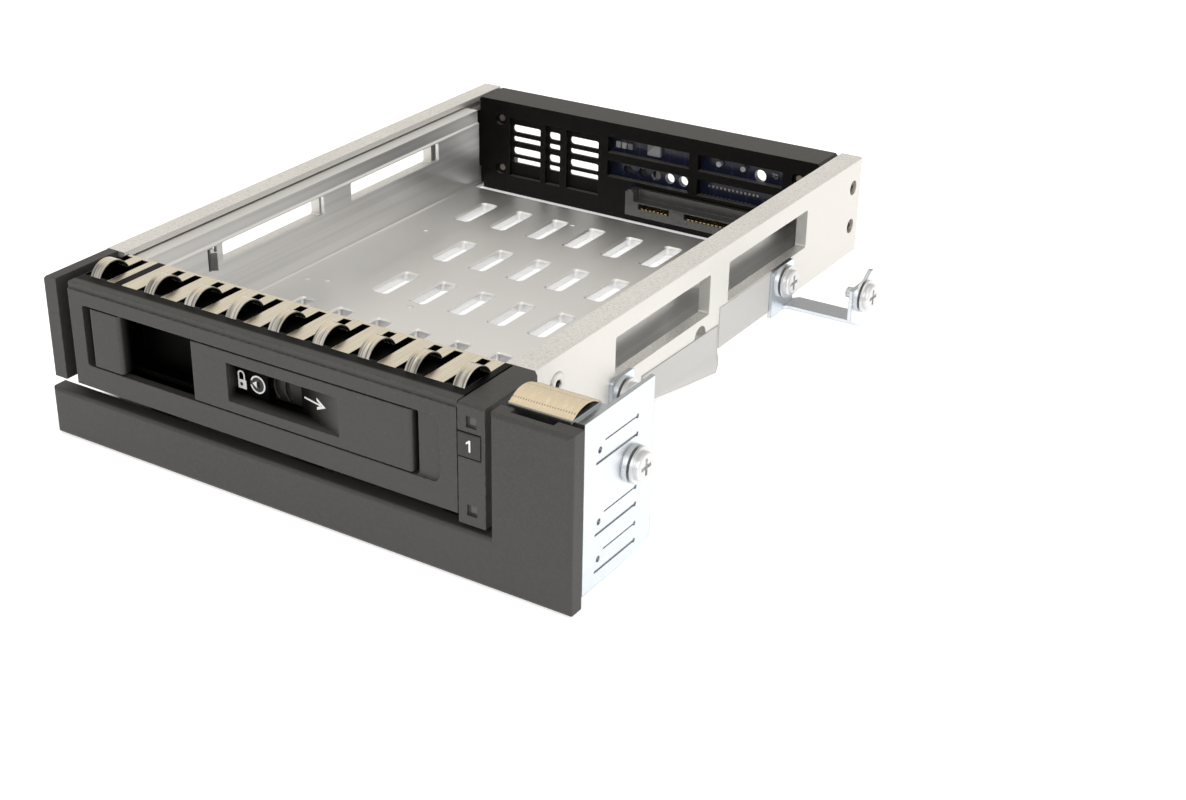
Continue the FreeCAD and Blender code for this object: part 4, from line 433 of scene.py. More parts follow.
# Each finish: the function that makes it, its colour, how much lighter that is, and its settings.
FINISHES = {
    "moulded_black": (moulded_black, "plastic", 1.0, {}),
    # Painted shade: the carrier goes near black deeper than 2.4 mm behind its front.
    "carrier_black": (moulded_black, "plastic", 1.0,
                      {"shade": deeper_than("carrier_front", 2.4, 3.2)}),
    # Painted shade: the lever goes near black deeper than 0.8 mm behind its front.
    "lever_black": (moulded_black, "plastic", 1.0, {"shade": deeper_than("lever", 0.8, 3.2)}),
    # Painted light and shade: the frame's colour is lightened 1.7 times, kept on its top and
    # darkened on every other side.
    "frame_black": (moulded_black, "plastic", 1.7, {"shade": all_but_the_top, "specular": 0.22}),
    "small_black": (moulded_black, "plastic", 0.62, {"grain": 1.2}),
    "glossy_black": (moulded_black, "plastic", 0.30,
                     {"grain": 0.6, "roughness": 0.22, "specular": 0.3}),
    "connector_grey": (moulded_black, "plastic", 1.0,
                       {"grain": 0.6, "roughness": 0.20, "coat": 0.6}),
    "blasted_aluminium": (blasted_aluminium, "rail", 1.0, {}),
    "rolled_zinc": (rolled_zinc, "tray", 1.0, {}),
    # top 0.66: painted shade on the brackets' upward faces.
    "bracket_zinc": (plated_zinc, "bracket", 1.0, {"roughness": 0.24, "top": 0.66}),
    "screw_zinc": (plated_zinc, "screw", 1.0, {"roughness": 0.13}),
    # Screws sunk in holes: dark brown zinc, partly age and partly painted shade of their holes.
    "aged_zinc": (plated_zinc, (0.26, 0.22, 0.19), 1.0, {"roughness": 0.34}),
    # Painted shade: the split washers sit in shadow between the washers, so their zinc is darkened
    # to a quarter.
    "dark_zinc": (plated_zinc, "screw", 0.25, {"roughness": 0.35}),
    "solder_tin": (plated_zinc, "solder", 1.0, {"roughness": 0.35}),
    "spring_steel": (spring_steel, "strip", 1.0, {}),
    "metal_cloth": (metal_cloth, "cloth", 1.0, {}),
    "bare_film": (bare_film, "label", 1.0, {}),
    "solder_mask": (solder_mask, "board", 1.0, {}),
    "gilt_metal": (speckled, "gilt", 1.0,
                   {"pattern": "noise", "scale": 1200.0, "darkest": 0.9, "sheen": (0.18, 0.14),
                    "bumps": (0.10, 0.02), "metallic": 1.0}),
    "clouded_plastic": (speckled, "lens", 1.0,
                        {"pattern": "noise", "scale": 700.0, "darkest": 0.7, "sheen": (0.22, 0.20),
                         "bumps": (0.15, 0.04), "edge": 0.2, "roughness": 0.3, "coat": 0.4}),
    "printed_white": (speckled, "ink", 1.0,
                      {"pattern": "noise", "scale": 3000.0, "darkest": 0.86, "sheen": (0.45, 0.15),
                       "bumps": (0.15, 0.02)}),
    "small_part_grey": (speckled, (0.42, 0.42, 0.43), 1.0,
                        {"pattern": "cells", "scale": 260.0, "darkest": 0.25, "sheen": (0.35, 0.20),
                         "bumps": (0.10, 0.02), "roughness": 0.45, "metallic": 0.2}),
    "dark_foam": (speckled, (0.055, 0.036, 0.028), 1.0,
                  {"pattern": "cells", "scale": 2200.0, "darkest": 0.4, "sheen": (0.90, 0.10),
                   "bumps": (0.60, 0.20), "roughness": 0.95, "specular": 0.2}),
    "pale_floor": (pale_floor, "floor", 1.0, {}),
}

NODE_FINISH = {
    "moulded_black": ("faceplate", "cage_front"),
    "carrier_black": ("carrier_front",),
    "lever_black": ("lever",),
    "frame_black": ("backplane_frame",),
    "small_black": ("lock_barrel", "number_plate", "rear_data_socket", "rear_power_socket"),
    "glossy_black": ("latch_slide",),
    "connector_grey": ("drive_connector",),
    "blasted_aluminium": ("left_rail", "right_rail"),
    "rolled_zinc": ("tray",),
    "bracket_zinc": ("side_bracket", "rear_bracket", "gasket_clip"),
    "screw_zinc": ("bay_screws", "flat_washers", "faceplate_screws", "tray_screws",
                   "lever_pin", "latch_spring"),
    "aged_zinc": ("frame_screws", "board_screws"),
    "dark_zinc": ("split_washers",),
    "spring_steel": ("shield_strip", "short_shield_strip"),
    "metal_cloth": ("bay_gasket",),
    "bare_film": ("wrap_label", "flap_label"),
    "solder_mask": ("backplane_board", "lamp_board"),
    "gilt_metal": ("drive_contacts",),
    "clouded_plastic": ("upper_light_pipe", "lower_light_pipe"),
    "small_part_grey": ("board_parts",),
}


def finish_of(name):
    """The material of that name, made on its first use from the user's colours."""
    made = bpy.data.materials.get(name)
    if made:
        return made
    make, colour, amount, settings = FINISHES[name]
    if isinstance(colour, str):
        colour = getattr(bpy.context.scene.caddy_colours, colour)
    return make(name, scaled(colour, amount), **settings)


# ------------------------------------------------------------------ meshes


def piece(name, mesh, finish, body):
    """A finished object that rides on a body; a grown mesh has its finish already."""
    mesh.name = name
    made = bpy.data.objects.new(name, mesh)
    bpy.context.scene.collection.objects.link(made)
    if finish:
        mesh.materials.append(finish_of(finish))
    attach(made, body)
    return made


def thicken(made, thickness):
    """Gives a thin piece its thickness, half on each side."""
    modifier = made.modifiers.new("thickness", "SOLIDIFY")
    modifier.thickness = thickness
    modifier.offset = 0.0


def mesh_from(build):
    """A mesh from a function that fills a bmesh."""
    work = bmesh.new()
    build(work)
    bmesh.ops.recalc_face_normals(work, faces=work.faces)
    mesh = bpy.data.meshes.new("mesh")
    work.to_mesh(mesh)
    work.free()
    return mesh


def add_ring(work, first, second):
    """Adds the faces between two closed rings of vertices."""
    count = len(first)
    for index in range(count):
        after = (index + 1) % count
        work.faces.new((first[index], first[after], second[after], second[index]))


def add_plate(work, outline, origin, right, up, thickness):
    """Adds a flat shape: outline points run along right and up, thickness towards the viewer."""
    towards = up.cross(right).normalized()
    back = [work.verts.new(origin + right * x + up * z) for x, z in outline]
    front = [work.verts.new(origin + right * x + up * z - towards * thickness) for x, z in outline]
    work.faces.new(back)
    work.faces.new(front[::-1])
    add_ring(work, back, front)


def add_sheet(work, columns, layer=None):
    """Adds smooth faces between columns of vertices, mapped from 0 to 1 where a layer is given."""
    across = len(columns) - 1
    along = len(columns[0]) - 1
    for column in range(across):
        for row in range(along):
            corners = ((column, row), (column + 1, row), (column + 1, row + 1), (column, row + 1))
            face = work.faces.new([columns[c][r] for c, r in corners])
            face.smooth = True
            if layer is not None:
                for loop, (c, r) in zip(face.loops, corners):
                    loop[layer].uv = (c / across, r / along)


def arc_points(centre, radius, start, end, steps):
    """Points on an arc, angles in degrees from the right, anticlockwise."""
    points = []
    for step in range(steps + 1):
        angle = math.radians(start + (end - start) * step / steps)
        points.append((centre[0] + radius * math.cos(angle), centre[1] + radius * math.sin(angle)))
    return points


def band(centre, radius, width, start, end, steps=40):
    """The outline of a round line of some width."""
    outer = arc_points(centre, radius + width / 2.0, start, end, steps)
    inner = arc_points(centre, radius - width / 2.0, end, start, steps)
    return outer + inner


def in_metres(points):
    """Millimetre pairs in metres."""
    return [(x * MM, z * MM) for x, z in points]


# ------------------------------------------------------------------ geometry nodes


class Tree:
    """A geometry node tree with named inputs."""

    def __init__(self, name, inputs):
        self.group = bpy.data.node_groups.new(name, "GeometryNodeTree")
        sockets = self.group.interface
        sockets.new_socket("Geometry", in_out="INPUT", socket_type="NodeSocketGeometry")
        self.ids = {}
        for label, (kind, value) in inputs.items():
            socket = sockets.new_socket(label, in_out="INPUT", socket_type=kind)
            if value is not None:
                socket.default_value = value
            self.ids[label] = socket.identifier
        sockets.new_socket("Geometry", in_out="OUTPUT", socket_type="NodeSocketGeometry")
        self.entry = self.group.nodes.new("NodeGroupInput")
        self.exit = self.group.nodes.new("NodeGroupOutput")

    def node(self, kind, settings=None, inputs=None, output=0):
        """A node with its settings made first, then its inputs' values or links."""
        made = self.group.nodes.new(kind)
        for key, value in (settings or {}).items():
            setattr(made, key, value)
        for key, value in (inputs or {}).items():
            if isinstance(value, bpy.types.NodeSocket):
                self.group.links.new(value, made.inputs[key])
            else:
                made.inputs[key].default_value = value
        return made.outputs[output]

    def given(self, label):
        """One of the tree's own inputs."""
        return self.entry.outputs[label]

    def copy_to_points(self, instance, **settings):
        """Ends the tree: the instance at every point, as real geometry with its material."""
        copies = self.node("GeometryNodeInstanceOnPoints", {},
                           {"Points": self.given("Geometry"), "Instance": instance, **settings})
        real = self.node("GeometryNodeRealizeInstances", {}, {"Geometry": copies})
        done = self.node("GeometryNodeSetMaterial", {},
                         {"Geometry": real, "Material": self.given("Material")})
        self.group.links.new(done, self.exit.inputs[0])

    def grow(self, points, values):
        """Runs the tree on a few points and returns the plain mesh it makes."""
        seed = bpy.data.meshes.new("seed")
        seed.from_pydata([tuple(p) for p in points], [], [])
        holder = bpy.data.objects.new("seed", seed)
        bpy.context.scene.collection.objects.link(holder)
        modifier = holder.modifiers.new("grow", "NODES")
        modifier.node_group = self.group
        for label, value in values.items():
            modifier[self.ids[label]] = value
        graph = bpy.context.evaluated_depsgraph_get()
        mesh = bpy.data.meshes.new_from_object(holder.evaluated_get(graph))
        bpy.data.objects.remove(holder)
        return mesh


def thread_tree():
    """A helical ridge along +X, copied to every point given."""
    tree = Tree("screw_thread", {
        "Radius": ("NodeSocketFloat", 1.5 * MM),
        "Pitch": ("NodeSocketFloat", 0.5 * MM),
        "Turns": ("NodeSocketFloat", 5.0),
        "Ridge": ("NodeSocketFloat", 0.22 * MM),
        "Material": ("NodeSocketMaterial", None),
    })
    height = tree.node("ShaderNodeMath", {"operation": "MULTIPLY"},
                       {0: tree.given("Pitch"), 1: tree.given("Turns")})
    radius = tree.given("Radius")
    helix = tree.node("GeometryNodeCurveSpiral", {},
                      {"Resolution": 20, "Rotations": tree.given("Turns"),
                       "Start Radius": radius, "End Radius": radius, "Height": height})
    ridge = tree.node("GeometryNodeCurvePrimitiveCircle", {"mode": "RADIUS"},
                      {"Resolution": 4, "Radius": tree.given("Ridge")})
    coil = tree.node("GeometryNodeCurveToMesh", {},
                     {"Curve": helix, "Profile Curve": ridge, "Fill Caps": True})
    laid = tree.node("GeometryNodeTransform", {},
                     {"Geometry": coil, "Rotation": (0.0, math.pi / 2.0, 0.0)})
    tree.copy_to_points(laid)
    return tree


def pad_tree():
    """A small block copied to every point given, each with its own slight turn."""
    tree = Tree("board_pads", {
        "Size": ("NodeSocketVector", (0.8 * MM, 0.12 * MM, 0.8 * MM)),
        "Turn": ("NodeSocketFloat", 0.06),
        "Material": ("NodeSocketMaterial", None),
    })
    block = tree.node("GeometryNodeMeshCube", {}, {"Size": tree.given("Size")})
    low = tree.node("ShaderNodeMath", {"operation": "MULTIPLY"}, {0: tree.given("Turn"), 1: -1.0})
    turn = tree.node("FunctionNodeRandomValue", {"data_type": "FLOAT"},
                     {"Min": low, "Max": tree.given("Turn"), "Seed": 5}, 1)
    angles = tree.node("ShaderNodeCombineXYZ", {}, {"Y": turn})
    tree.copy_to_points(block, Rotation=angles)
    return tree


def dimple_tree():
    """A shallow round dome copied to every point given."""
    tree = Tree("pressed_spots", {
        "Radius": ("NodeSocketFloat", 0.9 * MM),
        "Rise": ("NodeSocketFloat", 0.25),
        "Material": ("NodeSocketMaterial", None),
    })
    dome = tree.node("GeometryNodeMeshUVSphere", {},
                     {"Segments": 20, "Rings": 10, "Radius": tree.given("Radius")})
    scale = tree.node("ShaderNodeCombineXYZ", {}, {"X": 1.0, "Y": 1.0, "Z": tree.given("Rise")})
    flat = tree.node("GeometryNodeTransform", {}, {"Geometry": dome, "Scale": scale})
    tree.copy_to_points(flat)
    return tree


# ------------------------------------------------------------------ settings


def colour_setting(name, description, default):
    """A colour that a user can change."""
    return bpy.props.FloatVectorProperty(name=name, description=description, default=default,
                                         size=3, min=0.0, max=1.0, subtype="COLOR")


def length_setting(name, description, default):
    """A length in metres, its default given in millimetres."""
    return bpy.props.FloatProperty(name=name, description=description, default=default * MM,
                                   min=0.0, subtype="DISTANCE", unit="LENGTH", precision=5)


def number_setting(name, description, default, **limits):
    """A number that a user can change, with its own limits and unit."""
    return bpy.props.FloatProperty(name=name, description=description, default=default, **limits)


class CaddyColours(bpy.types.PropertyGroup):
    """Colours of the caddy's finishes."""

    plastic: colour_setting("Plastic", "Black moulded plastic", (0.034, 0.033, 0.0315))
    rail: colour_setting("Rails", "Blasted aluminium", (0.82, 0.81, 0.785))
    tray: colour_setting("Tray", "Zinc coated sheet", (0.84, 0.84, 0.84))
    bracket: colour_setting("Brackets", "Bright zinc plate", (0.72, 0.77, 0.82))
    screw: colour_setting("Screws", "Zinc plated screws", (0.52, 0.54, 0.56))
    strip: colour_setting("Shield strips", "Spring steel", (0.80, 0.73, 0.59))
    cloth: colour_setting("Contact cloth", "Metallised cloth", (0.74, 0.64, 0.47))
    label: colour_setting("Labels", "Bare label film", (0.55, 0.55, 0.545))
    board: colour_setting("Board", "Solder mask", (0.010, 0.014, 0.032))
    gilt: colour_setting("Contacts", "Gilt metal", (0.85, 0.62, 0.28))
    solder: colour_setting("Solder", "Tinned pads", (0.52, 0.50, 0.46))
    lens: colour_setting("Light pipes", "Clouded plastic", (0.055, 0.057, 0.057))
    ink: colour_setting("Ink", "White printing", (0.78, 0.78, 0.77))
    floor: colour_setting("Floor", "Pale floor", (0.90, 0.90, 0.90))


class CaddyMarks(bpy.types.PropertyGroup):
    """Sizes of the printed marks on the lever and the number plate."""

    ink_depth: length_setting("Ink depth", "How far the print stands out", 0.04)
    ring_radius: length_setting("Ring radius", "Radius of the ring on the lock", 1.98)
    line_width: length_setting("Line width", "Width of the printed lines", 0.42)
    digit_height: length_setting("Digit height", "Height of the bay's number", 2.7)


class CaddyHardware(bpy.types.PropertyGroup):
    """Sizes of threads, pads and pressed spots."""

    thread_radius: length_setting("Thread radius", "Middle radius of the thread's ridge", 1.26)
    thread_pitch: length_setting("Thread pitch", "Pitch of the thread", 0.5)
    pad_size: length_setting("Pad size", "Side of a solder pad", 0.75)
    spot_radius: length_setting("Spot radius", "Radius of a pressed spot in the tray", 0.9)


class CaddyStage(bpy.types.PropertyGroup):
    """Floor, lights and camera."""

    floor_width: number_setting("Floor width", "Side of the square floor",
                                  60.0, min=1.0, unit="LENGTH")
    key_power: number_setting("Key light", "Power of the large soft light in front",
                                9.0, min=0.0, subtype="POWER")
    side_power: number_setting("Side light", "Power of the light on the right",
                                 1.15, min=0.0, subtype="POWER")
    top_power: number_setting("Top light", "Power of the light overhead",
                                2.0, min=0.0, subtype="POWER")
    sky: number_setting("Surrounding light", "Strength of the light all round", 0.80, min=0.0)
    sky_warmth: colour_setting("Overhead tint", "Colour of the light overhead", (1.0, 0.95, 0.87))
    glow: number_setting("Floor glow", "Light that the floor gives by itself", 0.50, min=0.0)
    lens: number_setting("Lens", "Focal length on a 36 mm wide sensor", 56.77, min=10.0)


# ------------------------------------------------------------------ pieces


class CADDY_OT_finishes(bpy.types.Operator):
    """Gives every solid of the frame its finish"""

    bl_idname = "caddy.finishes"
    bl_label = "Finishes"

    def execute(self, context):
        for finish, nodes in NODE_FINISH.items():
            for node in nodes:
                mesh = frame["nodes"][node].data
                mesh.materials.clear()
                mesh.materials.append(finish_of(finish))
        return {"FINISHED"}


class CADDY_OT_latch_marks(bpy.types.Operator):
    """Prints the padlock, the lock's ring and pointer, and the arrow on the lever"""

    bl_idname = "caddy.latch_marks"
    bl_label = "Latch marks"

    def execute(self, context):
        marks = context.scene.caddy_marks
        depth = marks.ink_depth
        line = marks.line_width / MM
        low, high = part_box("lock_barrel")
        ring_inset = 2.25 * MM
        centre = Vector((high.x - ring_inset, low.y, (low.z + high.z) / 2.0))

        def mark(name, finish, body, outlines, offset, along=RIGHT, thickness=depth):
            """Prints outlines at an offset from the ring's centre, all in millimetres."""
            origin = centre + Vector(offset) * MM

            def ink(work):
                for outline in outlines:
                    add_plate(work, in_metres(outline), origin, along, UP, thickness)

            piece(name, mesh_from(ink), finish, body)

        half, tall = 1.4, 2.2
        outer, inner = 1.05, 0.65
        bow = (0, 3.4)
        case = [(-half, 0), (half, 0), (half, tall), (-half, tall)]
        shackle = [(outer, tall)] + arc_points(bow, outer, 0, 180, 16) + [(-outer, tall)]
        shackle += [(-inner, tall)] + arc_points(bow, inner, 180, 0, 16) + [(inner, tall)]
        keyhole = arc_points((0, 0), 0.45, 0, 340, 17)
        left = -4.9
        sunk = 0.1
        mark("padlock_mark", "printed_white", "lever", [case, shackle], (left, sunk, -tall))
        mark("keyhole_mark", "small_black", "lever", [keyhole],
             (left, sunk - depth / MM, -tall / 2), thickness=depth * 0.5)

        dish_slope = Vector((13.2, -3.0, 0)).normalized()
        half_line, length = line / 2, 6.2
        shaft = [(0, -half_line), (length, -half_line), (length, half_line), (0, half_line)]
        head = [(4.4, 1.45), (7.5, 0.0), (4.4, -1.45), (4.4, -0.80), (5.9, 0.0), (4.4, 0.80)]
        mark("arrow_mark", "printed_white", "lever", [shaft, head], (13.6, -0.13, 0.75),
             along=dish_slope)

        ring = band((0, 0), marks.ring_radius / MM, line * 0.9, -168, 160)
        pointer = [(-1.55, 0.05), (-0.35, 0.75), (-0.35, -0.95)]
        mark("lock_ring_mark", "printed_white", "lock", [ring, pointer], (0, 0, 0))
        return {"FINISHED"}


class CADDY_OT_bay_number(bpy.types.Operator):
    """Prints the bay's number on its plate"""

    bl_idname = "caddy.bay_number"
    bl_label = "Bay number"

    def execute(self, context):
        marks = context.scene.caddy_marks
        low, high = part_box("number_plate")
        middle = (low + high) / 2.0
        height = marks.digit_height
        top, bottom = height / 2, -height / 2
        stroke = height * 0.16
        left, right = -stroke * 0.1, stroke * 0.9
        flag = height * 0.26
        outline = [(left, bottom), (right, bottom), (right, top), (stroke * 0.1, top),
                   (-flag, flag), (-flag, height * 0.10), (left, flag)]
        origin = Vector((middle.x, low.y, middle.z))
        mesh = mesh_from(lambda work: add_plate(work, outline, origin, RIGHT, UP, marks.ink_depth))
        piece("bay_number", mesh, "printed_white", "bay")
        return {"FINISHED"}


class CADDY_OT_threads(bpy.types.Operator):
    """Cuts the visible threads of the bay screws"""

    bl_idname = "caddy.threads"
    bl_label = "Screw threads"

    def execute(self, context):
        hardware = context.scene.caddy_hardware
        thread_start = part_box("bay_screws")[1].x - 7.0 * MM
        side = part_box("side_bracket")[0].y + 19.7 * MM
        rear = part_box("flat_washers")[1].y - 4.3 * MM
        points = [Vector((thread_start, rear, at(0, 0, REAR_SCREW_Z).z)),
                  Vector((thread_start, side, at(0, 0, SIDE_SCREW_Z).z))]
        mesh = thread_tree().grow(points, {
            "Radius": hardware.thread_radius, "Pitch": hardware.thread_pitch, "Turns": 6.0,
            "Ridge": 0.2 * MM, "Material": finish_of("screw_zinc")})
        piece("bay_screw_threads", mesh, None, "bay")
        return {"FINISHED"}


class CADDY_OT_board_details(bpy.types.Operator):
    """Adds the solder pads and small parts that the frame's windows show"""

    bl_idname = "caddy.board_details"
    bl_label = "Board details"

    def execute(self, context):
        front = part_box("backplane_board")[0].y
        tree = pad_tree()

        def blocks(name, places, proud, size, turn, finish):
            """Blocks at places across and up the board, standing proud of it by millimetres."""
            spots = [at(x, 0, z) for x, z in places]
            points = [Vector((spot.x, front - proud * MM, spot.z)) for spot in spots]
            mesh = tree.grow(points, {"Size": size, "Turn": turn, "Material": finish_of(finish)})
            piece(name, mesh, None, "bay")

        pitch = 1.27
        pad = context.scene.caddy_hardware.pad_size
        pads = [(start + index * pitch, level) for index in range(13) for level, start in PAD_ROWS]
        blocks("board_pads", pads, 0.03, (pad * 0.8, 0.1 * MM, pad), 0.03, "solder_tin")
        edge_marks = [(x, z) for z in EDGE_MARK_Z for x in EDGE_MARK_X]
        blocks("board_edge_marks", edge_marks, 0.03, (0.7 * MM, 0.08 * MM, 0.5 * MM), 0.05,
               "solder_tin")
        chooser = random.Random(11)
        parts = [(chooser.uniform(left, right), chooser.uniform(low, high))
                 for left, right, low, high in PART_CLUSTERS for _ in range(4)]
        blocks("board_small_parts", parts, 0.2, (0.9 * MM, 0.4 * MM, 0.5 * MM), 1.5,
               "small_part_grey")
        return {"FINISHED"}


class CADDY_OT_pressed_spots(bpy.types.Operator):
    """Presses the small round marks into the tray's floor"""

    bl_idname = "caddy.pressed_spots"
    bl_label = "Pressed spots"

    def execute(self, context):
        points = [at(x, y, TRAY_FLOOR_TOP) for x, y in PRESSED_SPOTS]
        mesh = dimple_tree().grow(points, {"Radius": context.scene.caddy_hardware.spot_radius,
                                           "Rise": 0.22, "Material": finish_of("rolled_zinc")})
        mesh.shade_smooth()
        piece("pressed_spots", mesh, None, "carrier")
        return {"FINISHED"}


class CADDY_OT_contact_cloth(bpy.types.Operator):
    """Bows the metallised cloth over the foam on the faceplate's block"""

    bl_idname = "caddy.contact_cloth"
    bl_label = "Contact cloth"

    def execute(self, context):
        low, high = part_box("bay_gasket")
        lip = 0.8 * MM
        skin = 0.3 * MM
        foot = low.z + skin * 0.5
        rise = high.z - low.z - skin * 1.4
        front = low.y + lip
        half = (high.y - low.y - lip * 2.0) / 2.0
        radius = (half * half + rise * rise) / (2.0 * rise)
        reach = math.asin(half / radius)
        bow_steps = 18
        side = [(low.y + skin, foot)]
        for step in range(bow_steps + 1):
            angle = -reach + 2.0 * reach * step / bow_steps
            side.append((front + half + radius * math.sin(angle),
                         foot + rise - radius + radius * math.cos(angle)))
        side.append((high.y - skin, foot))
        chooser = random.Random(3)
        columns = 60
        wobble = [chooser.uniform(-1.0, 1.0) for _ in range(columns + 1)]

        def cloth(work):
            lines = []
            for column in range(columns + 1):
                x = low.x + (high.x - low.x) * column / columns
                ripple = 0.05 * MM * (wobble[column] + math.sin(column * 0.9))
                lines.append([work.verts.new((x, y, z + ripple * max(0.0, z - low.z - skin) / rise))
                              for y, z in side])
            add_sheet(work, lines, work.loops.layers.uv.new("cloth"))

        made = piece("contact_cloth", mesh_from(cloth), "metal_cloth", "bay")
        thicken(made, skin)
        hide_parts("bay_gasket")

        core = [(y, z - skin * 1.6) for y, z in side[3:-3]]
        core += [(core[-1][0], low.z + skin), (core[0][0], low.z + skin)]
        start = Vector((low.x + 0.3 * MM, 0, 0))
        width = high.x - low.x - 1.5 * MM
        mesh = mesh_from(lambda work: add_plate(work, core, start, BACK, UP, width))
        piece("cloth_foam", mesh, "dark_foam", "bay")
        return {"FINISHED"}


class CADDY_OT_snap_collar(bpy.types.Operator):
    """Raises the pressed collar round the small hole in the right rail"""

    bl_idname = "caddy.snap_collar"
    bl_label = "Snap collar"

    def execute(self, context):
        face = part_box("right_rail")[1].x
        centre = at(*SNAP_HOLE)
        profile = ((2.9, -0.02), (2.5, 0.30), (1.9, 0.42), (1.35, 0.42), (1.0, 0.22), (1.0, -0.02))
        steps = 40

        def collar(work):
            rings = []
            for radius, rise in profile:
                circle = in_metres(arc_points((0, 0), radius, 0, 360 - 360 / steps, steps - 1))
                rings.append([work.verts.new((face + rise * MM, centre.y + y, centre.z + z))
                              for y, z in circle])
            for first, second in zip(rings, rings[1:] + rings[:1]):
                add_ring(work, first, second)

        mesh = mesh_from(collar)
        mesh.shade_smooth()
        piece("snap_collar", mesh, "blasted_aluminium", "bay")
        return {"FINISHED"}


class CADDY_OT_loose_label(bpy.types.Operator):
    """Curls the paper label whose lower part hangs free"""

    bl_idname = "caddy.loose_label"
    bl_label = "Loose label"

    def execute(self, context):
        low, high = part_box("flap_label")
        rail_low, rail_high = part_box("right_rail")
        rail_foot = rail_low.z
        depth = high.z - low.z
        glued = 0.625
        columns = 28
        rows = 24

        def label(work):
            lines = []
            for column in range(columns + 1):
                share = column / columns
                y = low.y + (high.y - low.y) * share
                free = (rail_foot + 0.4 * MM - low.z) * (0.12 + 0.88 * share ** 0.8)
                top = high.z - depth * 0.05 * share
                line = []
                for row in range(rows + 1):
                    fall = row / rows
                    x = rail_high.x + 0.12 * MM
                    z = top - (top - rail_foot) * min(1.0, fall / glued)
                    if fall > glued:
                        loose = (fall - glued) / (1.0 - glued)
                        z = rail_foot - free * loose
                        x -= (1.0 - share) * 2.6 * MM * loose ** 1.7
                        x += 0.5 * MM * math.sin(loose * math.pi) * share
                    line.append(work.verts.new((x, y, z)))
                lines.append(line)
            add_sheet(work, lines)

        made = piece("loose_label", mesh_from(label), "bare_film", "bay")
        thicken(made, 0.12 * MM)
        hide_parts("flap_label")
        return {"FINISHED"}


class CADDY_OT_stage(bpy.types.Operator):
    """Sets the floor, the soft lights and the camera"""

    bl_idname = "caddy.stage"
    bl_label = "Stage"

    def execute(self, context):
        stage = context.scene.caddy_stage
        foot = at(0, FRONT_FOOT_Y, 0)
        rear_low, rear_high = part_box("backplane_frame")
        slope = (rear_low.z - foot.z) / (rear_high.y - foot.y)
        gap = 0.1 * MM
        half = stage.floor_width / 2.0
        corners = ((-half, -half), (half, -half), (half, half), (-half, half))
        mesh = mesh_from(lambda work: work.faces.new(
            [work.verts.new((x, y, (y - foot.y) * slope - gap)) for x, y in corners]))
        mesh.materials.append(finish_of("pale_floor"))
        ground = bpy.data.objects.new("floor", mesh)
        context.scene.collection.objects.link(ground)
        lights = (
            ("key", (0.55, -1.35, 0.75), 1.2, stage.key_power),
            ("side", (1.35, 0.15, 0.65), 1.0, stage.side_power),
            ("top", (-0.3, -0.2, 1.5), 1.2, stage.top_power),
        )
        aim = Vector((0, 0, 0.02))
        for name, place, size, power in lights:
            lamp = bpy.data.lights.new(name, "AREA")
            lamp.shape = "DISK"
            lamp.size = size
            lamp.energy = power
            made = bpy.data.objects.new(name, lamp)
            made.matrix_world = look_at(Vector(place), aim)
            context.scene.collection.objects.link(made)
        context.scene.world = studio_sky(stage.sky, stage.sky_warmth)
        context.scene.view_settings.view_transform = "Standard"
        camera = bpy.data.cameras.new("camera")
        camera.sensor_width = 36.0
        camera.lens = stage.lens
        camera.shift_x = 0.1089
        camera.shift_y = 0.0292
        camera.clip_start = 0.01
        roll = math.radians(-0.85)
        made = bpy.data.objects.new("camera", camera)
        made.matrix_world = look_at(at(*CAMERA_PLACE), at(*CAMERA_TARGET), roll)
        context.scene.collection.objects.link(made)
        context.scene.camera = made
        return {"FINISHED"}


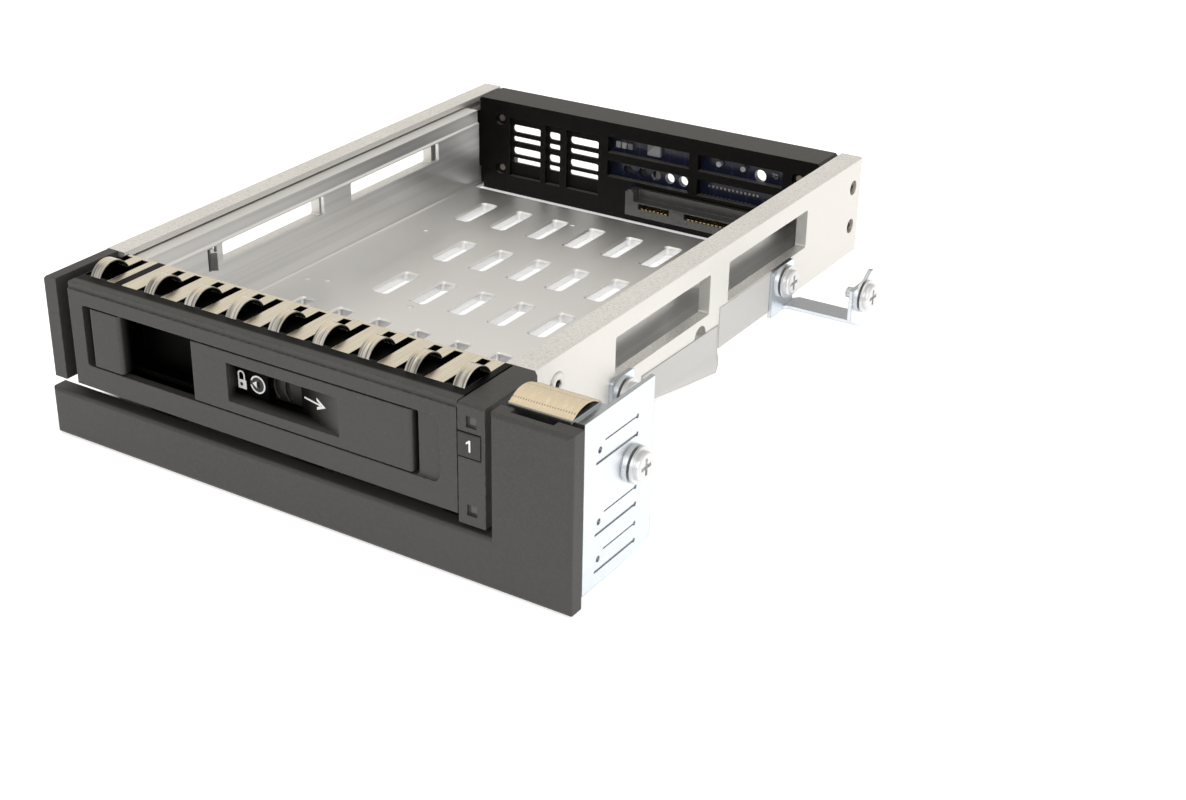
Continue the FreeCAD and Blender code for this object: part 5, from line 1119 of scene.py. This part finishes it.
def studio_sky(strength, warmth):
    """A bright room: dim at eye level, white just above it and warmer overhead."""
    world = bpy.data.worlds.new("studio")
    world.use_nodes = True
    nodes = world.node_tree.nodes
    links = world.node_tree.links
    sky = next(n for n in nodes if n.type == "BACKGROUND")
    sky.inputs["Strength"].default_value = strength
    direction = nodes.new("ShaderNodeTexCoord")
    split = nodes.new("ShaderNodeSeparateXYZ")
    links.new(direction.outputs["Generated"], split.inputs[0])
    ramp = nodes.new("ShaderNodeValToRGB")
    horizon, overhead = ramp.color_ramp.elements
    horizon.position = 0.04
    horizon.color = (0.25, 0.25, 0.26, 1.0)
    overhead.position = 0.6
    overhead.color = (*warmth, 1.0)
    ramp.color_ramp.elements.new(0.12).color = (1.0, 1.0, 1.0, 1.0)
    links.new(split.outputs["Z"], ramp.inputs["Fac"])
    links.new(ramp.outputs["Color"], sky.inputs["Color"])
    return world


def look_at(place, target, roll=0.0):
    """A placing that looks from place to target, turned about its line of sight by roll."""
    turn = (target - place).to_track_quat("-Z", "Y").to_matrix().to_4x4()
    return Matrix.Translation(place) @ turn @ Matrix.Rotation(roll, 4, "Z")


class CADDY_PT_panel(bpy.types.Panel):
    """The caddy's settings and steps"""

    bl_idname = "CADDY_PT_panel"
    bl_label = "Drive caddy"
    bl_space_type = "VIEW_3D"
    bl_region_type = "UI"
    bl_category = "Caddy"

    def draw(self, context):
        layout = self.layout
        for group in SETTINGS:
            box = layout.box()
            owner = getattr(context.scene, group)
            for name in owner.__annotations__:
                box.prop(owner, name)
        for step in STEPS:
            layout.operator(step.bl_idname)


SETTINGS = {
    "caddy_colours": CaddyColours,
    "caddy_marks": CaddyMarks,
    "caddy_hardware": CaddyHardware,
    "caddy_stage": CaddyStage,
}
STEPS = (
    CADDY_OT_stage,
    CADDY_OT_finishes,
    CADDY_OT_latch_marks,
    CADDY_OT_bay_number,
    CADDY_OT_threads,
    CADDY_OT_board_details,
    CADDY_OT_pressed_spots,
    CADDY_OT_contact_cloth,
    CADDY_OT_snap_collar,
    CADDY_OT_loose_label,
)


def register():
    """Makes the settings, the steps and the panel known to Blender."""
    for group in SETTINGS.values():
        bpy.utils.register_class(group)
    for name, group in SETTINGS.items():
        setattr(bpy.types.Scene, name, bpy.props.PointerProperty(type=group))
    for step in STEPS:
        bpy.utils.register_class(step)
    bpy.utils.register_class(CADDY_PT_panel)


def unregister():
    """Takes them away again."""
    bpy.utils.unregister_class(CADDY_PT_panel)
    for step in reversed(STEPS):
        bpy.utils.unregister_class(step)
    for name, group in SETTINGS.items():
        delattr(bpy.types.Scene, name)
        bpy.utils.unregister_class(group)


def main():
    """Runs every step in order."""
    register()
    for step in STEPS:
        family, name = step.bl_idname.split(".")
        getattr(getattr(bpy.ops, family), name)()


if __name__ == "__main__":
    main()
